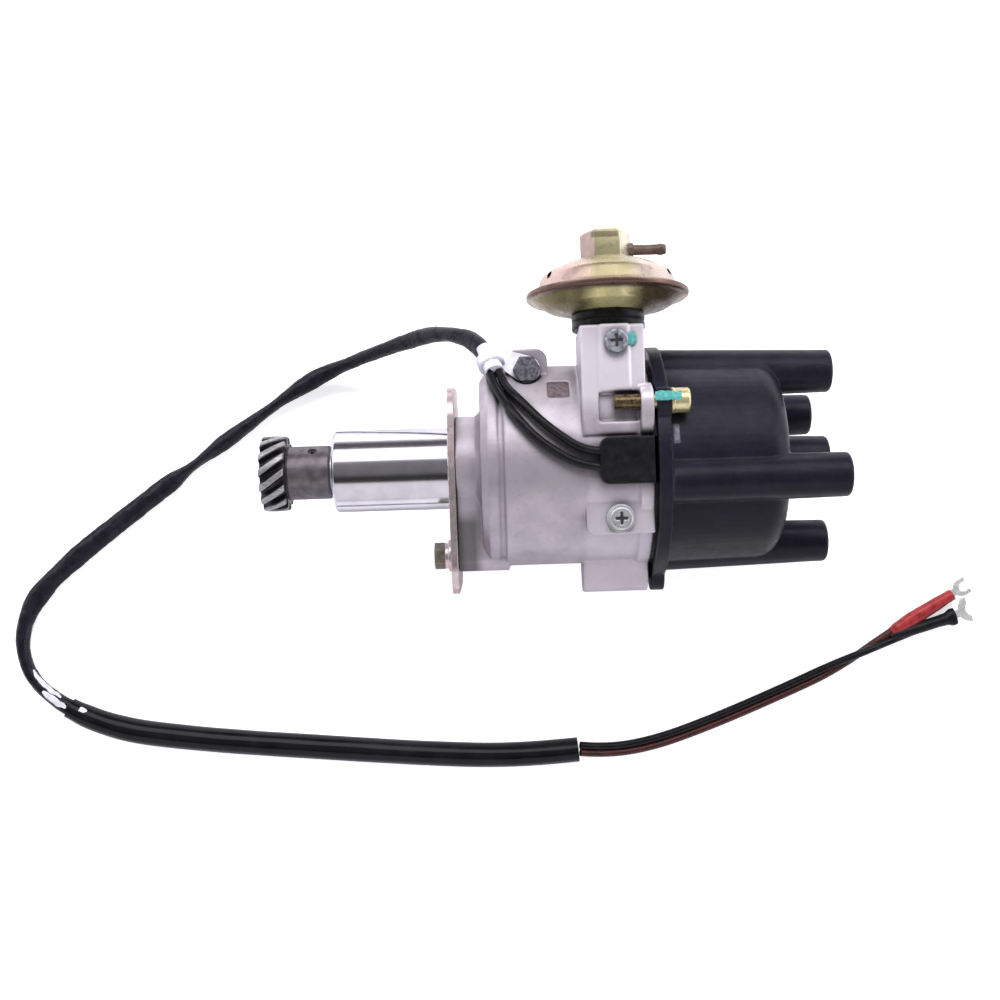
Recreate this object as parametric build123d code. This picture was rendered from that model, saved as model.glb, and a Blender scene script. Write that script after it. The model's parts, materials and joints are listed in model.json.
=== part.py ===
from build123d import *
import os
from math import cos, degrees, hypot, pi, radians, sin, tan

# Ignition distributor for a four-cylinder industrial engine, in millimetres.
# It is built upright: z runs along the shaft from the drive gear (negative) to the cap, and
# z = 0 is the engine-side face of the fixing plate. lying turns it onto its side, as it rests:
# the shaft then runs along +X, the vacuum unit points along +Y and +Z is up.

# ---------------------------------------------------------------- driving dimensions
# overall
upper_bore_r = 31.0
drum_wall = 3.0
rim_wall = 4.2

# drive end
shaft_r = 6.25
shank_r = 14.0
shank_length = 39.3
gear_teeth = 14
gear_tip_r = 13.0
gear_root_r = 10.2
gear_face = 8.6
gear_helix = -33.0
gear_hub_r = 9.2
gear_hub_length = 14.9
roll_pin_r = 1.5
roll_pin_length = 16.6
roll_pin_from_hub_end = 6.0
roll_pin_azimuth = 38.0
bush_r = 8.0
lower_bush_length = 15.0
upper_bush_length = 16.0
washer_thickness = 1.0
washer_r = 7.7

# fixing plate
plate_thickness = 2.3
plate_register_r = 15.0
plate_lobe_r = 12.0
plate_top_lobe = (15.5, 4.0)
plate_clamp_lobe = (-31.0, 3.0)
plate_engine_lobe_x = -30.0
plate_corner_lobe_x = 17.5
engine_bolt_hole_r = 4.5
clamp_radius = 30.1
clamp_azimuth = 172.5
clamp_swing = 8.0
clamp_bolt_r = 2.5
clamp_bolt_grip = 11.0
clamp_head_af = 8.0
clamp_head_height = 3.6

# housing
neck_r = 17.6
drum_z = 11.0
floor_z = 14.0
lower_drum_wall = 4.5
band_depth = 1.0
band_z = 18.5
band_groove = 0.6
ledge_z = 47.0
rim_z = 66.5
rim_inset = 4.1
rim_flange_height = 4.2
lug_azimuth = 180.0
lug_inset = 1.8
lug_r = 6.5
lug_length = 22.0
vent_azimuth = 44.0
vent_half_width = 4.0
vent_low = 33.5
vent_high = 40.5
clip_boss_top = 16.5
clip_boss_reach = 38.5
clip_boss_z = 27.0
clip_boss_length = 14.0
clip_bolt_x = 31.5
clip_bolt_length = 10.0

# governor (centrifugal advance)
governor_plate_r = 26.0
governor_plate_thickness = 2.0
governor_hub_r = 9.0
weight_pivot_r = 16.5
weight_nose_r = 9.0
weight_outer_r = 24.0
weight_inner_r = 11.6
weight_thickness = 6.0
weight_pin_r = 2.0
nose_pin_r = 1.3
weight_swing = 15.0
cam_plate_r = 12.0
cam_plate_thickness = 1.8
spring_post_r = 1.2
spring_post_radius = 10.0
spring_post_azimuth = 80.0
journal_r = 4.5
sleeve_r = 6.5
sleeve_top = 76.0

# pick-up (vacuum advance)
base_plate_thickness = 1.6
base_hub_wall = 2.0
pickup_plate_thickness = 1.6
pickup_plate_r = 20.6
link_pin_r = 1.4
link_radius = 23.5
link_swing = 5.0
vacuum_tilt = 3.0
vacuum_z = 54.2
reluctor_r = 12.4
reluctor_height = 8.0
air_gap = 0.5
magnet_outer_r = 19.8
magnet_wall = 2.2
coil_wall = 3.6
coil_to_hub = 1.9
stack_height = 5.5
stator_thickness = 1.6
side_screw_x = -18.4
side_screw_z = 55.5
side_screw_r = 2.0
side_pad_sink = 2.7
side_lug_depth = 10.3
side_lug_thickness = 3.6
side_pad_sides = (-23.5, -8.0)
side_pad_low = 44.5
module_inner_r = 22.6
module_height = 11.0

# vacuum unit, measured along its own axis from the link pin
block_end = 43.0
block_half = 10.3
block_low = 8.4
block_high = 34.0
block_pad = 0.8
block_pad_low = 22.4
block_pad_sides = (50.3, 59.6)
block_recess_y = (12.6, 21.9)
block_recess_z = 49.5
block_recess_floor = 31.9
vacuum_screw_spot = (38.0, 55.4)
vacuum_screw_length = 4.5
seal_ring_r = 12.0
seal_ring_height = 5.5
can_neck_r = 7.0
can_r = 26.4
can_rim_height = 2.0
can_shell = 1.0
can_dish_height = 4.8
can_dome_r = 23.3
can_shoulder_r = 21.9
can_shoulder_height = 6.0
can_shoulder_round = 6.0
can_top_height = 10.8
can_top_r = 10.2
can_hole_r = 1.1
can_hole_height = 4.6
can_hole_azimuths = (-28.0, -152.0)
can_hex_r = 8.4
can_hex_height = 9.5
nipple_r = 1.75
nipple_bore_r = 0.9
nipple_length = 10.8
nipple_collar_r = 2.4
nipple_collar = 0.6
rod_thickness = 1.6
rod_half_width = 3.2
diaphragm_plate_r = 15.0

# cap
gasket_thickness = 1.0
cap_base_height = 4.6
cap_body_inset = 5.1
cap_draft = 0.8
cap_wall = 3.0
cap_top_z = 111.5
cap_ceiling_z = 104.5
cap_shoulder = 8.0
cap_screw_outset = 0.2
cap_screw_azimuth = 62.0
cap_ear_r = 4.4
cap_screw_r = 2.4
cap_screw_head_r = 4.0
cap_screw_head_height = 5.2
cap_screw_grip = 12.5
housing_ear_r = 9.5
housing_ear_radius = 33.0
tower_r = 7.25
tower_radius = 29.7
column_foot_radius = 31.3
strap_cover = 0.8
tower_tip_z = 129.8
tower_azimuths = (12.7, 102.7, 192.7, 303.0)
post_azimuths = (12.7, 102.7, 192.7, 282.7)
socket_r = 4.2
socket_depth = 18.0
post_r = 2.4
rotor_tip_r = 25.2
rotor_gap = 0.9
rotor_tip_z = 96.0
brush_r = 2.6
brush_length = 8.0

# leads and harness
lead_r = 1.4
sheath_r = 3.0
sleeve_wall = 0.3
sleeve_length = 11.0
tube_r = 4.6
grommet_z = 57.0
grommet_width = 15.0
grommet_length = 16.0
clip_thickness = 1.2
clip_width = 3.6
clip_start = 3.0
cable_r = 1.8
terminal_thickness = 0.9
terminal_sleeve_r = 2.0
terminal_sleeve_length = 20.0
lead_in_sleeve = 8.0

# clearances
running = 0.05
face_gap = 0.1
screw_clearance = 0.2
slide_gap = 0.3

# sizes that follow from the ones above
drum_r = upper_bore_r + drum_wall
drum_bore_r = drum_r - lower_drum_wall
band_r = drum_r - band_depth
side_pad_y = drum_r - side_pad_sink
rim_flange_r = upper_bore_r + rim_wall
cap_base_r = rim_flange_r + rim_inset
rest_height = cap_base_r
lug_radius = cap_base_r - lug_inset
cap_screw_radius = cap_base_r + cap_screw_outset
cap_body_r = cap_base_r - cap_body_inset
cap_top_r = cap_body_r - cap_draft
cap_cavity_r = cap_body_r - cap_wall
magnet_inner_r = magnet_outer_r - magnet_wall
coil_outer_r = magnet_inner_r - face_gap
coil_inner_r = coil_outer_r - coil_wall
base_hub_r = coil_inner_r - coil_to_hub
base_hub_bore = base_hub_r - base_hub_wall

lying = Plane(origin=(0, 0, 0), x_dir=(0, 1, 0), z_dir=(1, 0, 0)).location
BASE = (Align.CENTER, Align.CENTER, Align.MIN)


# ---------------------------------------------------------------- helpers
def polar(radius, azimuth, z=0.0):
    """A point at an azimuth about the shaft axis."""
    return (radius * cos(radians(azimuth)), radius * sin(radians(azimuth)), z)


def disc(radius, low, high, bore=0.0, centre=(0.0, 0.0)):
    """A cylinder along z, with an optional bore."""
    body = Pos(centre[0], centre[1], low) * Cylinder(radius, high - low, align=BASE)
    if bore > 0:
        body -= Pos(centre[0], centre[1], low - 1) * Cylinder(bore, high - low + 2, align=BASE)
    return body


def turned(points):
    """A solid of revolution about z from (r, z) points."""
    outline = make_face(Polyline(*[(r, 0, z) for r, z in points], close=True))
    return revolve(outline, Axis.Z)


def hull(circles, low, high):
    """A plate whose outline is the hull of (x, y, r) circles."""
    rims = [edge for x, y, r in circles for edge in (Pos(x, y) * Circle(r)).edges()]
    return Pos(0, 0, low) * extrude(make_hull(rims), high - low)


def block(low, high):
    """A box between two corners."""
    size = [b - a for a, b in zip(low, high)]
    return Pos(*low) * Box(*size, align=(Align.MIN, Align.MIN, Align.MIN))


def sector(inner, outer, start, end, low, high):
    """A ring segment between two azimuths."""
    inside = [CenterArc((0, 0), r, start, end - start) for r in (inner, outer)]
    sides = [Line(inside[0] @ t, inside[1] @ t) for t in (0, 1)]
    return Pos(0, 0, low) * extrude(make_face(inside + sides), high - low)


def group(solids):
    """Separate solids that share one node."""
    return Compound([solid for shape in solids for solid in shape.solids()])


def coil(radius, wire_r, low, high, turns):
    """A round helical spring along z, with its wire centred on radius."""
    rise = high - low - 2 * wire_r
    path = Pos(0, 0, low + wire_r) * Helix(pitch=rise / turns, height=rise, radius=radius)
    start = Plane(origin=path @ 0, z_dir=path % 0)
    return sweep(start * RegularPolygon(wire_r, 8), path, is_frenet=True)


def between(start, end):
    """A frame at start whose z points at end."""
    return Plane(origin=start, z_dir=Vector(*end) - Vector(*start)).location


def tube(points, radius, bends):
    """A round cord along straight runs joined by tangent arcs."""
    path = FilletPolyline(*points, radius=bends)
    return sweep(Plane(origin=path @ 0, z_dir=path % 0) * Circle(radius), path)


def bend_radii(points):
    """The arc radius at each inner point of a cord's route."""
    radii = []
    for before, corner, after in zip(points, points[1:], points[2:]):
        runs = (Vector(*corner) - Vector(*before), Vector(*after) - Vector(*corner))
        half_turn = radians(runs[0].get_angle(runs[1]) / 2)
        radii.append(0.45 * min(run.length for run in runs) / tan(half_turn))
    return radii


def cord(points, radius, name):
    """A free cord with gentle bends, its radii and length printed."""
    radii = bend_radii(points)
    solid = tube(points, radius, radii)
    length = solid.volume / (pi * radius**2)
    print(f"{name}: length {length:.1f}, least bend radius {min(radii):.1f}")
    return solid


# ---------------------------------------------------------------- drive end
gear_hub_end = -shank_length - washer_thickness - 2 * face_gap
gear_face_top = gear_hub_end - gear_hub_length
gear_end = gear_face_top - gear_face
roll_pin_z = gear_hub_end - roll_pin_from_hub_end


def tooth_space():
    """One gap between gear teeth, in the plane of the gear's end."""
    pitch = 360 / gear_teeth
    root_half = 0.19 * pitch
    tip_half = 0.34 * pitch
    reach = gear_tip_r + 1
    corners = [
        polar(gear_root_r, -root_half)[:2],
        polar(gear_root_r, root_half)[:2],
        polar(reach, tip_half)[:2],
        polar(reach, -tip_half)[:2],
    ]
    return make_face(Polyline(*corners, close=True))


def drive_gear():
    """A helical gear and its hub in one piece, pressed and pinned on the shaft."""
    pitch_r = (gear_tip_r + gear_root_r) / 2
    twist = degrees(gear_face * tan(radians(gear_helix)) / pitch_r)
    blank = disc(gear_tip_r, gear_end, gear_face_top)
    blank = chamfer(blank.edges().filter_by(GeomType.CIRCLE), 0.5)
    space = Solid.extrude_linear_with_rotation(tooth_space().face(), (0, 0, 0), (0, 0, gear_face), twist)
    spaces = [Pos(0, 0, gear_end) * Rot(0, 0, n * 360 / gear_teeth) * space for n in range(gear_teeth)]
    hub = disc(gear_hub_r, gear_face_top, gear_hub_end)
    hub = chamfer(hub.edges().sort_by(Axis.Z)[-1], 0.6)
    gear = blank - spaces + hub
    gear -= disc(shaft_r, gear_end - 1, gear_hub_end + 1)
    gear -= roll_pin_hole()
    return gear


def roll_pin_hole():
    """The cross hole through the hub and the shaft."""
    return Pos(0, 0, roll_pin_z) * Rot(0, 0, roll_pin_azimuth) * Rot(0, 90, 0) * Cylinder(
        roll_pin_r, 3 * gear_hub_r)


def gear_roll_pin():
    """The spring pin that ties the gear to the shaft."""
    pin = Cylinder(roll_pin_r, roll_pin_length) - Cylinder(roll_pin_r / 2, roll_pin_length + 2)
    return Pos(0, 0, roll_pin_z) * Rot(0, 0, roll_pin_azimuth) * Rot(0, 90, 0) * pin


def thrust_washer():
    """The washer between the gear hub and the end of the shank."""
    low = -shank_length - face_gap - washer_thickness
    return disc(washer_r, low, low + washer_thickness, shaft_r + running)


def bushes():
    """The plain bearings at both ends of the shank bore."""
    lower = disc(bush_r, -shank_length, -shank_length + lower_bush_length, shaft_r + running)
    upper = disc(bush_r, floor_z - upper_bush_length, floor_z, shaft_r + running)
    return lower, upper


# ---------------------------------------------------------------- fixing plate and its clamp
def clamp_slot(low, high):
    """The arc slot that lets the timing be set."""
    half = clamp_bolt_r + slide_gap
    slot = sector(clamp_radius - half, clamp_radius + half, clamp_azimuth - clamp_swing,
                  clamp_azimuth + clamp_swing, low, high)
    for side in (-1, 1):
        slot += disc(half, low, high, 0, polar(clamp_radius, clamp_azimuth + side * clamp_swing)[:2])
    return slot


def fixing_plate():
    """The flat plate that clamps the distributor to the engine."""
    foot = plate_lobe_r - rest_height
    circles = [
        (0, 0, neck_r),
        (*plate_top_lobe, plate_lobe_r),
        (*plate_clamp_lobe, plate_lobe_r),
        (plate_engine_lobe_x, foot, plate_lobe_r),
        (plate_corner_lobe_x, foot, plate_lobe_r),
    ]
    plate = hull(circles, 0, plate_thickness)
    plate -= disc(plate_register_r + running, -1, plate_thickness + 1)
    plate -= disc(engine_bolt_hole_r, -1, plate_thickness + 1, 0, (plate_engine_lobe_x, foot))
    plate -= clamp_slot(-1, plate_thickness + 1)
    return plate


def clamp_fastener():
    """The clamp bolt with its plain and spring washers, under the fixing plate."""
    x, y, _ = polar(clamp_radius, clamp_azimuth)
    plain = disc(5.4, -face_gap - 1.0, -face_gap, clamp_bolt_r, (x, y))
    spring = disc(4.4, -face_gap - 2.2, -face_gap - 1.0, clamp_bolt_r, (x, y))
    under_head = -face_gap - 2.2
    head = Pos(x, y, under_head - clamp_head_height) * extrude(
        RegularPolygon(clamp_head_af / 2, 6, major_radius=False), clamp_head_height)
    head &= disc(clamp_head_af * 0.565, under_head - clamp_head_height, under_head, 0, (x, y))
    bolt = head + disc(clamp_bolt_r, under_head, plate_thickness + clamp_bolt_grip, 0, (x, y))
    return bolt, group([plain, spring])


# ---------------------------------------------------------------- vacuum unit frame
link_azimuth = 90 - vacuum_tilt + link_swing
link_x, link_y, _ = polar(link_radius, link_azimuth)
vacuum = Plane(
    origin=(link_x, link_y, vacuum_z),
    x_dir=(0, 0, 1),
    z_dir=(cos(radians(vacuum_tilt)), -sin(radians(vacuum_tilt)), 0),
).location
block_reach = (block_end - link_x) / cos(radians(vacuum_tilt))
ring_end = block_reach + seal_ring_height
rim_low = ring_end + can_dish_height
rim_high = rim_low + can_rim_height
can_top = rim_high + can_top_height
diaphragm_u = rim_low + can_rim_height / 2


# ---------------------------------------------------------------- housing
def housing_casting():
    """The turned body of the casting: shank, neck, drum and rim."""
    body = turned([
        (bush_r, -shank_length), (shank_r - 0.8, -shank_length), (shank_r, -shank_length + 0.8),
        (shank_r, 0), (plate_register_r, 0), (plate_register_r, plate_thickness + face_gap),
        (neck_r, plate_thickness + face_gap),
        (neck_r, drum_z - 2), (neck_r + 2, drum_z), (band_r - 3.5, drum_z),
        (band_r, drum_z + 2.5), (band_r, band_z - 2), (band_r - band_groove, band_z - 1.6),
        (band_r - band_groove, band_z - 0.4), (drum_r, band_z + 0.6),
        (drum_r, rim_z - rim_flange_height - 1), (rim_flange_r, rim_z - rim_flange_height),
        (rim_flange_r, rim_z), (upper_bore_r, rim_z), (upper_bore_r, ledge_z),
        (drum_bore_r, ledge_z), (drum_bore_r, floor_z), (bush_r, floor_z),
    ])
    return body


def housing_bosses():
    """The ears, lugs and pads cast on the outside of the housing."""
    ear_x, ear_y, _ = polar(clamp_radius, clamp_azimuth)
    clamp_ear = hull([(0, 0, neck_r - 1), (ear_x, ear_y, 5.6)], plate_thickness + face_gap, band_z + 1)
    lug_x, lug_y, _ = polar(lug_radius, lug_azimuth)
    low = rim_z - lug_length
    lug = hull([(lug_x, lug_y, lug_r), (lug_x * 0.6, lug_y, lug_r + 6)], low, rim_z)
    ears = []
    for side in (0, 180):
        x, y, _ = polar(cap_screw_radius, cap_screw_azimuth + side)
        inner = polar(housing_ear_radius, cap_screw_azimuth + side)
        ears.append(hull([(x, y, cap_ear_r), (inner[0], inner[1], housing_ear_r)],
                         rim_z - rim_flange_height, rim_z))
    boss = block((22, clip_boss_top - 14, clip_boss_z - clip_boss_length / 2),
                 (clip_boss_reach, clip_boss_top, clip_boss_z + clip_boss_length / 2))
    boss = fillet(boss.edges().filter_by(Axis.Y).group_by(Axis.X)[-1], 4)
    pads = []
    for turn in (0, 180):
        pad = block((side_pad_sides[0], 15, side_pad_low), (side_pad_sides[1], side_pad_y, rim_z))
        pads.append(Rot(0, 0, turn) * fillet(pad.edges().filter_by(Axis.Y).group_by(Axis.Z)[0], 2.5))
    return [clamp_ear, lug, boss] + ears + pads


def vacuum_block():
    """The block on the drum's side that carries the vacuum unit, with a raised pad on its face."""
    body = block((block_low, block_low, vacuum_z - block_half),
                 (block_end + 2, block_high, vacuum_z + block_half))
    body = fillet(body.edges().filter_by(Axis.X).group_by(Axis.Y)[0], 3)
    body = fillet(body.edges().filter_by(Axis.X).group_by(Axis.Y)[-1].sort_by(Axis.Z)[0], 1.5)
    body += block((block_pad_low, block_high - 1, block_pad_sides[0]),
                  (block_end + 2, block_high + block_pad, block_pad_sides[1]))
    return body - vacuum * disc(2 * block_half, block_reach, block_reach + 10)


def grommet_notch(grow=0.0):
    """The slot in the drum wall that holds the lead grommet, open at the rim."""
    half = grommet_width / 2 - 2 + grow
    low = grommet_z - grommet_length / 2 + 2 - grow
    return block((-half, 24, low), (half, 40, rim_z + 5))


def side_screw_spot(azimuth_turn):
    """The frame of one side screw: its origin on the pad, z pointing outward."""
    return Rot(0, 0, azimuth_turn) * Pos(side_screw_x, side_pad_y, side_screw_z) * Rot(-90, 0, 0)


def housing():
    """The die-cast housing with its shank."""
    body = housing_casting()
    for boss in housing_bosses():
        body += boss
    body += vacuum_block()
    body -= turned([(0, floor_z), (drum_bore_r, floor_z), (drum_bore_r, ledge_z), (upper_bore_r, ledge_z),
                    (upper_bore_r, rim_z + 1), (0, rim_z + 1)])
    body -= disc(bush_r, -shank_length - 1, floor_z + 1)
    relief_low = -shank_length + lower_bush_length
    relief_high = floor_z - upper_bush_length
    body -= disc(bush_r + 0.6, relief_low, relief_high)
    # bore for the vacuum rod and can neck, and the window it opens into the drum
    body -= vacuum * disc(can_neck_r + face_gap, 18, block_reach + 5)
    # the flat spot and hole of the harness clip
    body -= Pos(clip_bolt_x, clip_boss_top, clip_boss_z) * Rot(-90, 0, 0) * Cylinder(5.2, 12, align=BASE)
    body -= Pos(clip_bolt_x, clip_boss_top - clip_bolt_length, clip_boss_z) * Rot(-90, 0, 0) * Cylinder(
        clamp_bolt_r, clip_bolt_length + 1, align=BASE)
    # the vent between the clip boss and the vacuum block
    body -= Rot(0, 0, vent_azimuth) * block((drum_bore_r - 2, -vent_half_width, vent_low),
                                            (drum_r + 5, vent_half_width, vent_high))
    # the recess in the block behind the cap screw's ear
    body -= block((block_recess_y[0], block_recess_floor, block_recess_z),
                  (block_recess_y[1], block_high + 5, rim_z - rim_flange_height))
    body -= disc(clamp_bolt_r, 0, plate_thickness + clamp_bolt_grip, 0, polar(clamp_radius, clamp_azimuth)[:2])
    for side in (0, 180):
        spot = polar(cap_screw_radius, cap_screw_azimuth + side)[:2]
        body -= disc(cap_screw_r, rim_z - cap_screw_grip, rim_z + 1, 0, spot)
        body -= side_screw_hole(side)
    body -= grommet_notch()
    body -= locating_peg(face_gap)
    body -= vacuum_screw_hole()
    return body


def side_screw_hole(turn):
    """The clearance hole of one side screw through the drum wall."""
    return side_screw_spot(turn) * Pos(0, 0, -12) * Cylinder(side_screw_r + screw_clearance, 14, align=BASE)


def locating_peg(grow=0.0):
    """The peg under the cap's locating ear, in the housing lug."""
    x, y, _ = polar(lug_radius, lug_azimuth)
    return disc(2.0 + grow, rim_z - 5 - grow, rim_z + gasket_thickness + 1, 0, (x, y))


def vacuum_screw_frame():
    """The frame of the vacuum unit's screw: its origin on the raised pad, z pointing outward."""
    return Pos(vacuum_screw_spot[0], block_high + block_pad, vacuum_screw_spot[1]) * Rot(-90, 0, 0)


def vacuum_screw_hole():
    """The tapped hole that takes the screw of the vacuum unit."""
    return vacuum_screw_frame() * Pos(0, 0, -vacuum_screw_length) * Cylinder(
        2.0, vacuum_screw_length + 1, align=BASE)


def vacuum_screw():
    """The pan-head screw on the front of the block that holds the vacuum unit."""
    head = Cylinder(3.8, 2.6, align=BASE)
    head = fillet(head.edges().sort_by(Axis.Z)[-1], 0.8)
    cross = Box(4.2, 1.0, 1.4) + Box(1.0, 4.2, 1.4)
    screw = head - Pos(0, 0, 2.6) * cross + Pos(0, 0, -vacuum_screw_length) * Cylinder(
        2.0, vacuum_screw_length, align=BASE)
    return vacuum_screw_frame() * screw


# ---------------------------------------------------------------- shaft and governor
governor_low = floor_z + washer_thickness + 3 * face_gap
governor_plate_z = governor_low + 3.0
governor_top = governor_plate_z + governor_plate_thickness
weight_low = governor_top + slide_gap
weight_high = weight_low + weight_thickness
cam_low = weight_high + slide_gap
cam_high = cam_low + cam_plate_thickness
spring_z = cam_high + 2.4


def drive_shaft():
    """The shaft from the gear to the journal that carries the rotor shaft."""
    return turned([
        (0, gear_end - 0.6), (shaft_r - 0.8, gear_end - 0.6), (shaft_r, gear_end + 0.2), (shaft_r, governor_top + 2),
        (journal_r, governor_top + 2), (journal_r, sleeve_top), (0, sleeve_top),
    ]) - roll_pin_hole() - disc(2.0, sleeve_top - 12, sleeve_top + 1)


def upper_thrust_washer():
    """The washer between the upper bush and the governor hub."""
    return disc(governor_hub_r, floor_z + face_gap, floor_z + face_gap + washer_thickness, shaft_r + running)


def governor_plate():
    """The plate pressed on the shaft that carries the weight pins."""
    plate = disc(governor_plate_r, governor_plate_z, governor_top)
    plate += disc(governor_hub_r, governor_low, governor_plate_z)
    plate -= disc(shaft_r, governor_low - 1, governor_top + 1)
    for turn in (0, 180):
        plate -= disc(weight_pin_r, governor_plate_z - 1, governor_top + 1, 0, polar(weight_pivot_r, turn)[:2])
        plate -= disc(4.0, governor_plate_z - 1, governor_top + 1, 0, polar(18.5, turn + 90)[:2])
    return plate


def weight_pins():
    """The two pins that the weights turn on, with the springs' upper grooves."""
    pins = []
    for turn in (0, 180):
        centre = polar(weight_pivot_r, turn)[:2]
        pin = disc(weight_pin_r, governor_plate_z, cam_high, 0, centre)
        pins.append(pin + disc(spring_post_r, cam_high, spring_z + 2.2, 0, centre))
    return group(pins)


def governor_weight(turn):
    """One crescent weight with its pivot eye and its upstanding nose pin."""
    pivot = (weight_pivot_r, 0)
    body = sector(weight_inner_r, weight_outer_r, -14, 136, weight_low, weight_high)
    body += hull([(*pivot, 4.6), (weight_nose_r, 0, 2.2)], weight_low, weight_high)
    body += disc(nose_pin_r, weight_high, cam_high, 0, (weight_nose_r, 0))
    body -= disc(weight_pin_r + running, weight_low - 1, weight_high + 1, 0, pivot)
    return Rot(0, 0, turn) * body


def rotor_shaft():
    """The sleeve on the journal, with the slotted cam plate that the weights drive."""
    sleeve = disc(sleeve_r, governor_top + 2 + face_gap, sleeve_top - face_gap)
    arm = weight_pivot_r - weight_nose_r
    swung = (weight_pivot_r - arm * cos(radians(weight_swing)), arm * sin(radians(weight_swing)))
    nose_reach = hypot(*swung) + nose_pin_r + slide_gap
    body = sleeve + disc(cam_plate_r, cam_low, cam_high)
    body -= disc(journal_r + running, 0, sleeve_top + 1)
    for turn in (0, 180):
        slot = block((sleeve_r + 0.2, -nose_pin_r - screw_clearance, cam_low - 1),
                     (nose_reach, nose_pin_r + screw_clearance, cam_high + 1))
        body -= Rot(0, 0, turn) * slot
        post = polar(spring_post_radius, spring_post_azimuth + turn)[:2]
        body += disc(spring_post_r, cam_high - 0.1, spring_z + 2.2, 0, post)
    # the flat that keys the rotor arm
    body -= block((sleeve_r - 1.0, -10, rotor_low), (sleeve_r + 5, 10, sleeve_top + 1))
    body -= reluctor_key()
    return body


def governor_springs():
    """The two return springs between the weight pins and the cam plate's posts."""
    springs = []
    for turn in (0, 180):
        start = polar(weight_pivot_r, turn, spring_z)
        end = polar(spring_post_radius, spring_post_azimuth + turn, spring_z)
        length = (Vector(*end) - Vector(*start)).length
        clear = spring_post_r + 0.1
        springs.append(between(start, end) * coil(1.6, 0.4, clear, length - clear, 7))
    return group(springs)


def rotor_shaft_screw():
    """The screw in the shaft's end that keeps the rotor shaft on."""
    return disc(5.4, sleeve_top, sleeve_top + 1.0) + disc(3.6, sleeve_top + 1.0, sleeve_top + 3.4) \
        + disc(2.0, sleeve_top - 10, sleeve_top)


# ---------------------------------------------------------------- pick-up
base_top = ledge_z + base_plate_thickness
plate_low = base_top + slide_gap
plate_high = plate_low + pickup_plate_thickness
clip_low = plate_high + slide_gap
stack_low = plate_high
stator_low = stack_low + stack_height
stator_high = stator_low + stator_thickness
hub_top = clip_low + 1.4
reluctor_low = hub_top + 0.6
reluctor_high = reluctor_low + reluctor_height
rotor_low = reluctor_high + 1.5


def pickup_base_plate():
    """The plate on the housing ledge, with a hub for the moving plate and lugs for the side screws."""
    plate = disc(upper_bore_r - screw_clearance, ledge_z, base_top)
    plate += disc(base_hub_r, base_top, hub_top)
    plate -= disc(base_hub_bore, ledge_z - 1, hub_top + 1)
    lug_start = side_pad_y - side_lug_depth
    for turn in (0, 180):
        lug = block((-24, lug_start, base_top - 0.5), (-10, lug_start + side_lug_thickness, side_screw_z + 4))
        lug &= disc(upper_bore_r - screw_clearance, 0, rim_z)
        plate += Rot(0, 0, turn) * lug
        plate -= side_screw_spot(turn) * Pos(0, 0, -16) * Cylinder(side_screw_r, 16, align=BASE)
    return plate - disc(base_hub_r + 0.5, clip_low - face_gap, clip_low + 0.8 + face_gap, base_hub_r - 0.6)


def plate_circlip():
    """The open ring that keeps the moving plate on its hub."""
    ring = disc(base_hub_r + 1.6, clip_low, clip_low + 0.8, base_hub_r - 0.6)
    return ring - block((0, -3, clip_low - 1), (20, 3, clip_low + 2))


def pickup_plate():
    """The plate that the vacuum unit turns, with its link pin."""
    arm = polar(link_radius, link_azimuth)[:2]
    plate = disc(pickup_plate_r, plate_low, plate_high)
    plate += hull([(arm[0], arm[1], 3.0), (0, 14, 6)], plate_low, plate_high)
    plate -= disc(base_hub_r + running, plate_low - 1, plate_high + 1)
    plate += disc(link_pin_r, plate_high, vacuum_z + 1.6, 0, arm)
    return plate


def pickup_coil():
    """The winding inside the magnet ring."""
    low = stack_low + 1.4
    return disc(coil_outer_r, low, stator_low, coil_inner_r)


def magnet_ring():
    """The ring magnet under the stator."""
    return disc(magnet_outer_r, stack_low, stator_low, magnet_inner_r)


def stator():
    """The pole ring, with one pole for each reluctor tooth."""
    inner = reluctor_r + air_gap
    ring = disc(magnet_outer_r + 0.6, stator_low, stator_high, inner + 2.4)
    for turn in range(0, 360, 90):
        pole = sector(inner, inner + 3, turn - 8, turn + 8, stator_low, stator_high + 2.5)
        ring += pole
    return ring


def reluctor():
    """The toothed wheel that passes the stator poles."""
    wheel = disc(8.6, reluctor_low, reluctor_high)
    for turn in range(0, 360, 90):
        tooth = sector(7.5, reluctor_r, turn - 7, turn + 7, reluctor_low, reluctor_high)
        wheel += tooth
    return wheel - disc(sleeve_r, 0, rim_z + 20) - reluctor_key()


def reluctor_key():
    """The pin between the reluctor and the rotor shaft."""
    return disc(0.9, reluctor_low + 2, reluctor_high, 0, polar(sleeve_r, 45)[:2])


def side_screws():
    """The two screws that hold the pick-up base plate from outside."""
    screws = []
    for turn in (0, 180):
        head = fillet(Cylinder(3.8, 2.4, align=BASE).edges().sort_by(Axis.Z)[-1], 0.8)
        washer = Cylinder(4.6, 0.8, align=BASE)
        cross = Box(4.2, 1.0, 1.4) + Box(1.0, 4.2, 1.4)
        screw = washer + Pos(0, 0, 0.8) * head - Pos(0, 0, 3.2) * cross
        screw += Pos(0, 0, -10.5) * Cylinder(side_screw_r, 10.5, align=BASE)
        screws.append(side_screw_spot(turn) * screw)
    return group(screws)


module_start = 200.0
module_end = 272.0


def igniter_module():
    """The moulded ignition module on the base plate."""
    body = sector(module_inner_r, upper_bore_r - 0.8, module_start, module_end, base_top,
                  base_top + module_height)
    return chamfer(body.edges().group_by(Axis.Z)[-1], 1.0)


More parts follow.
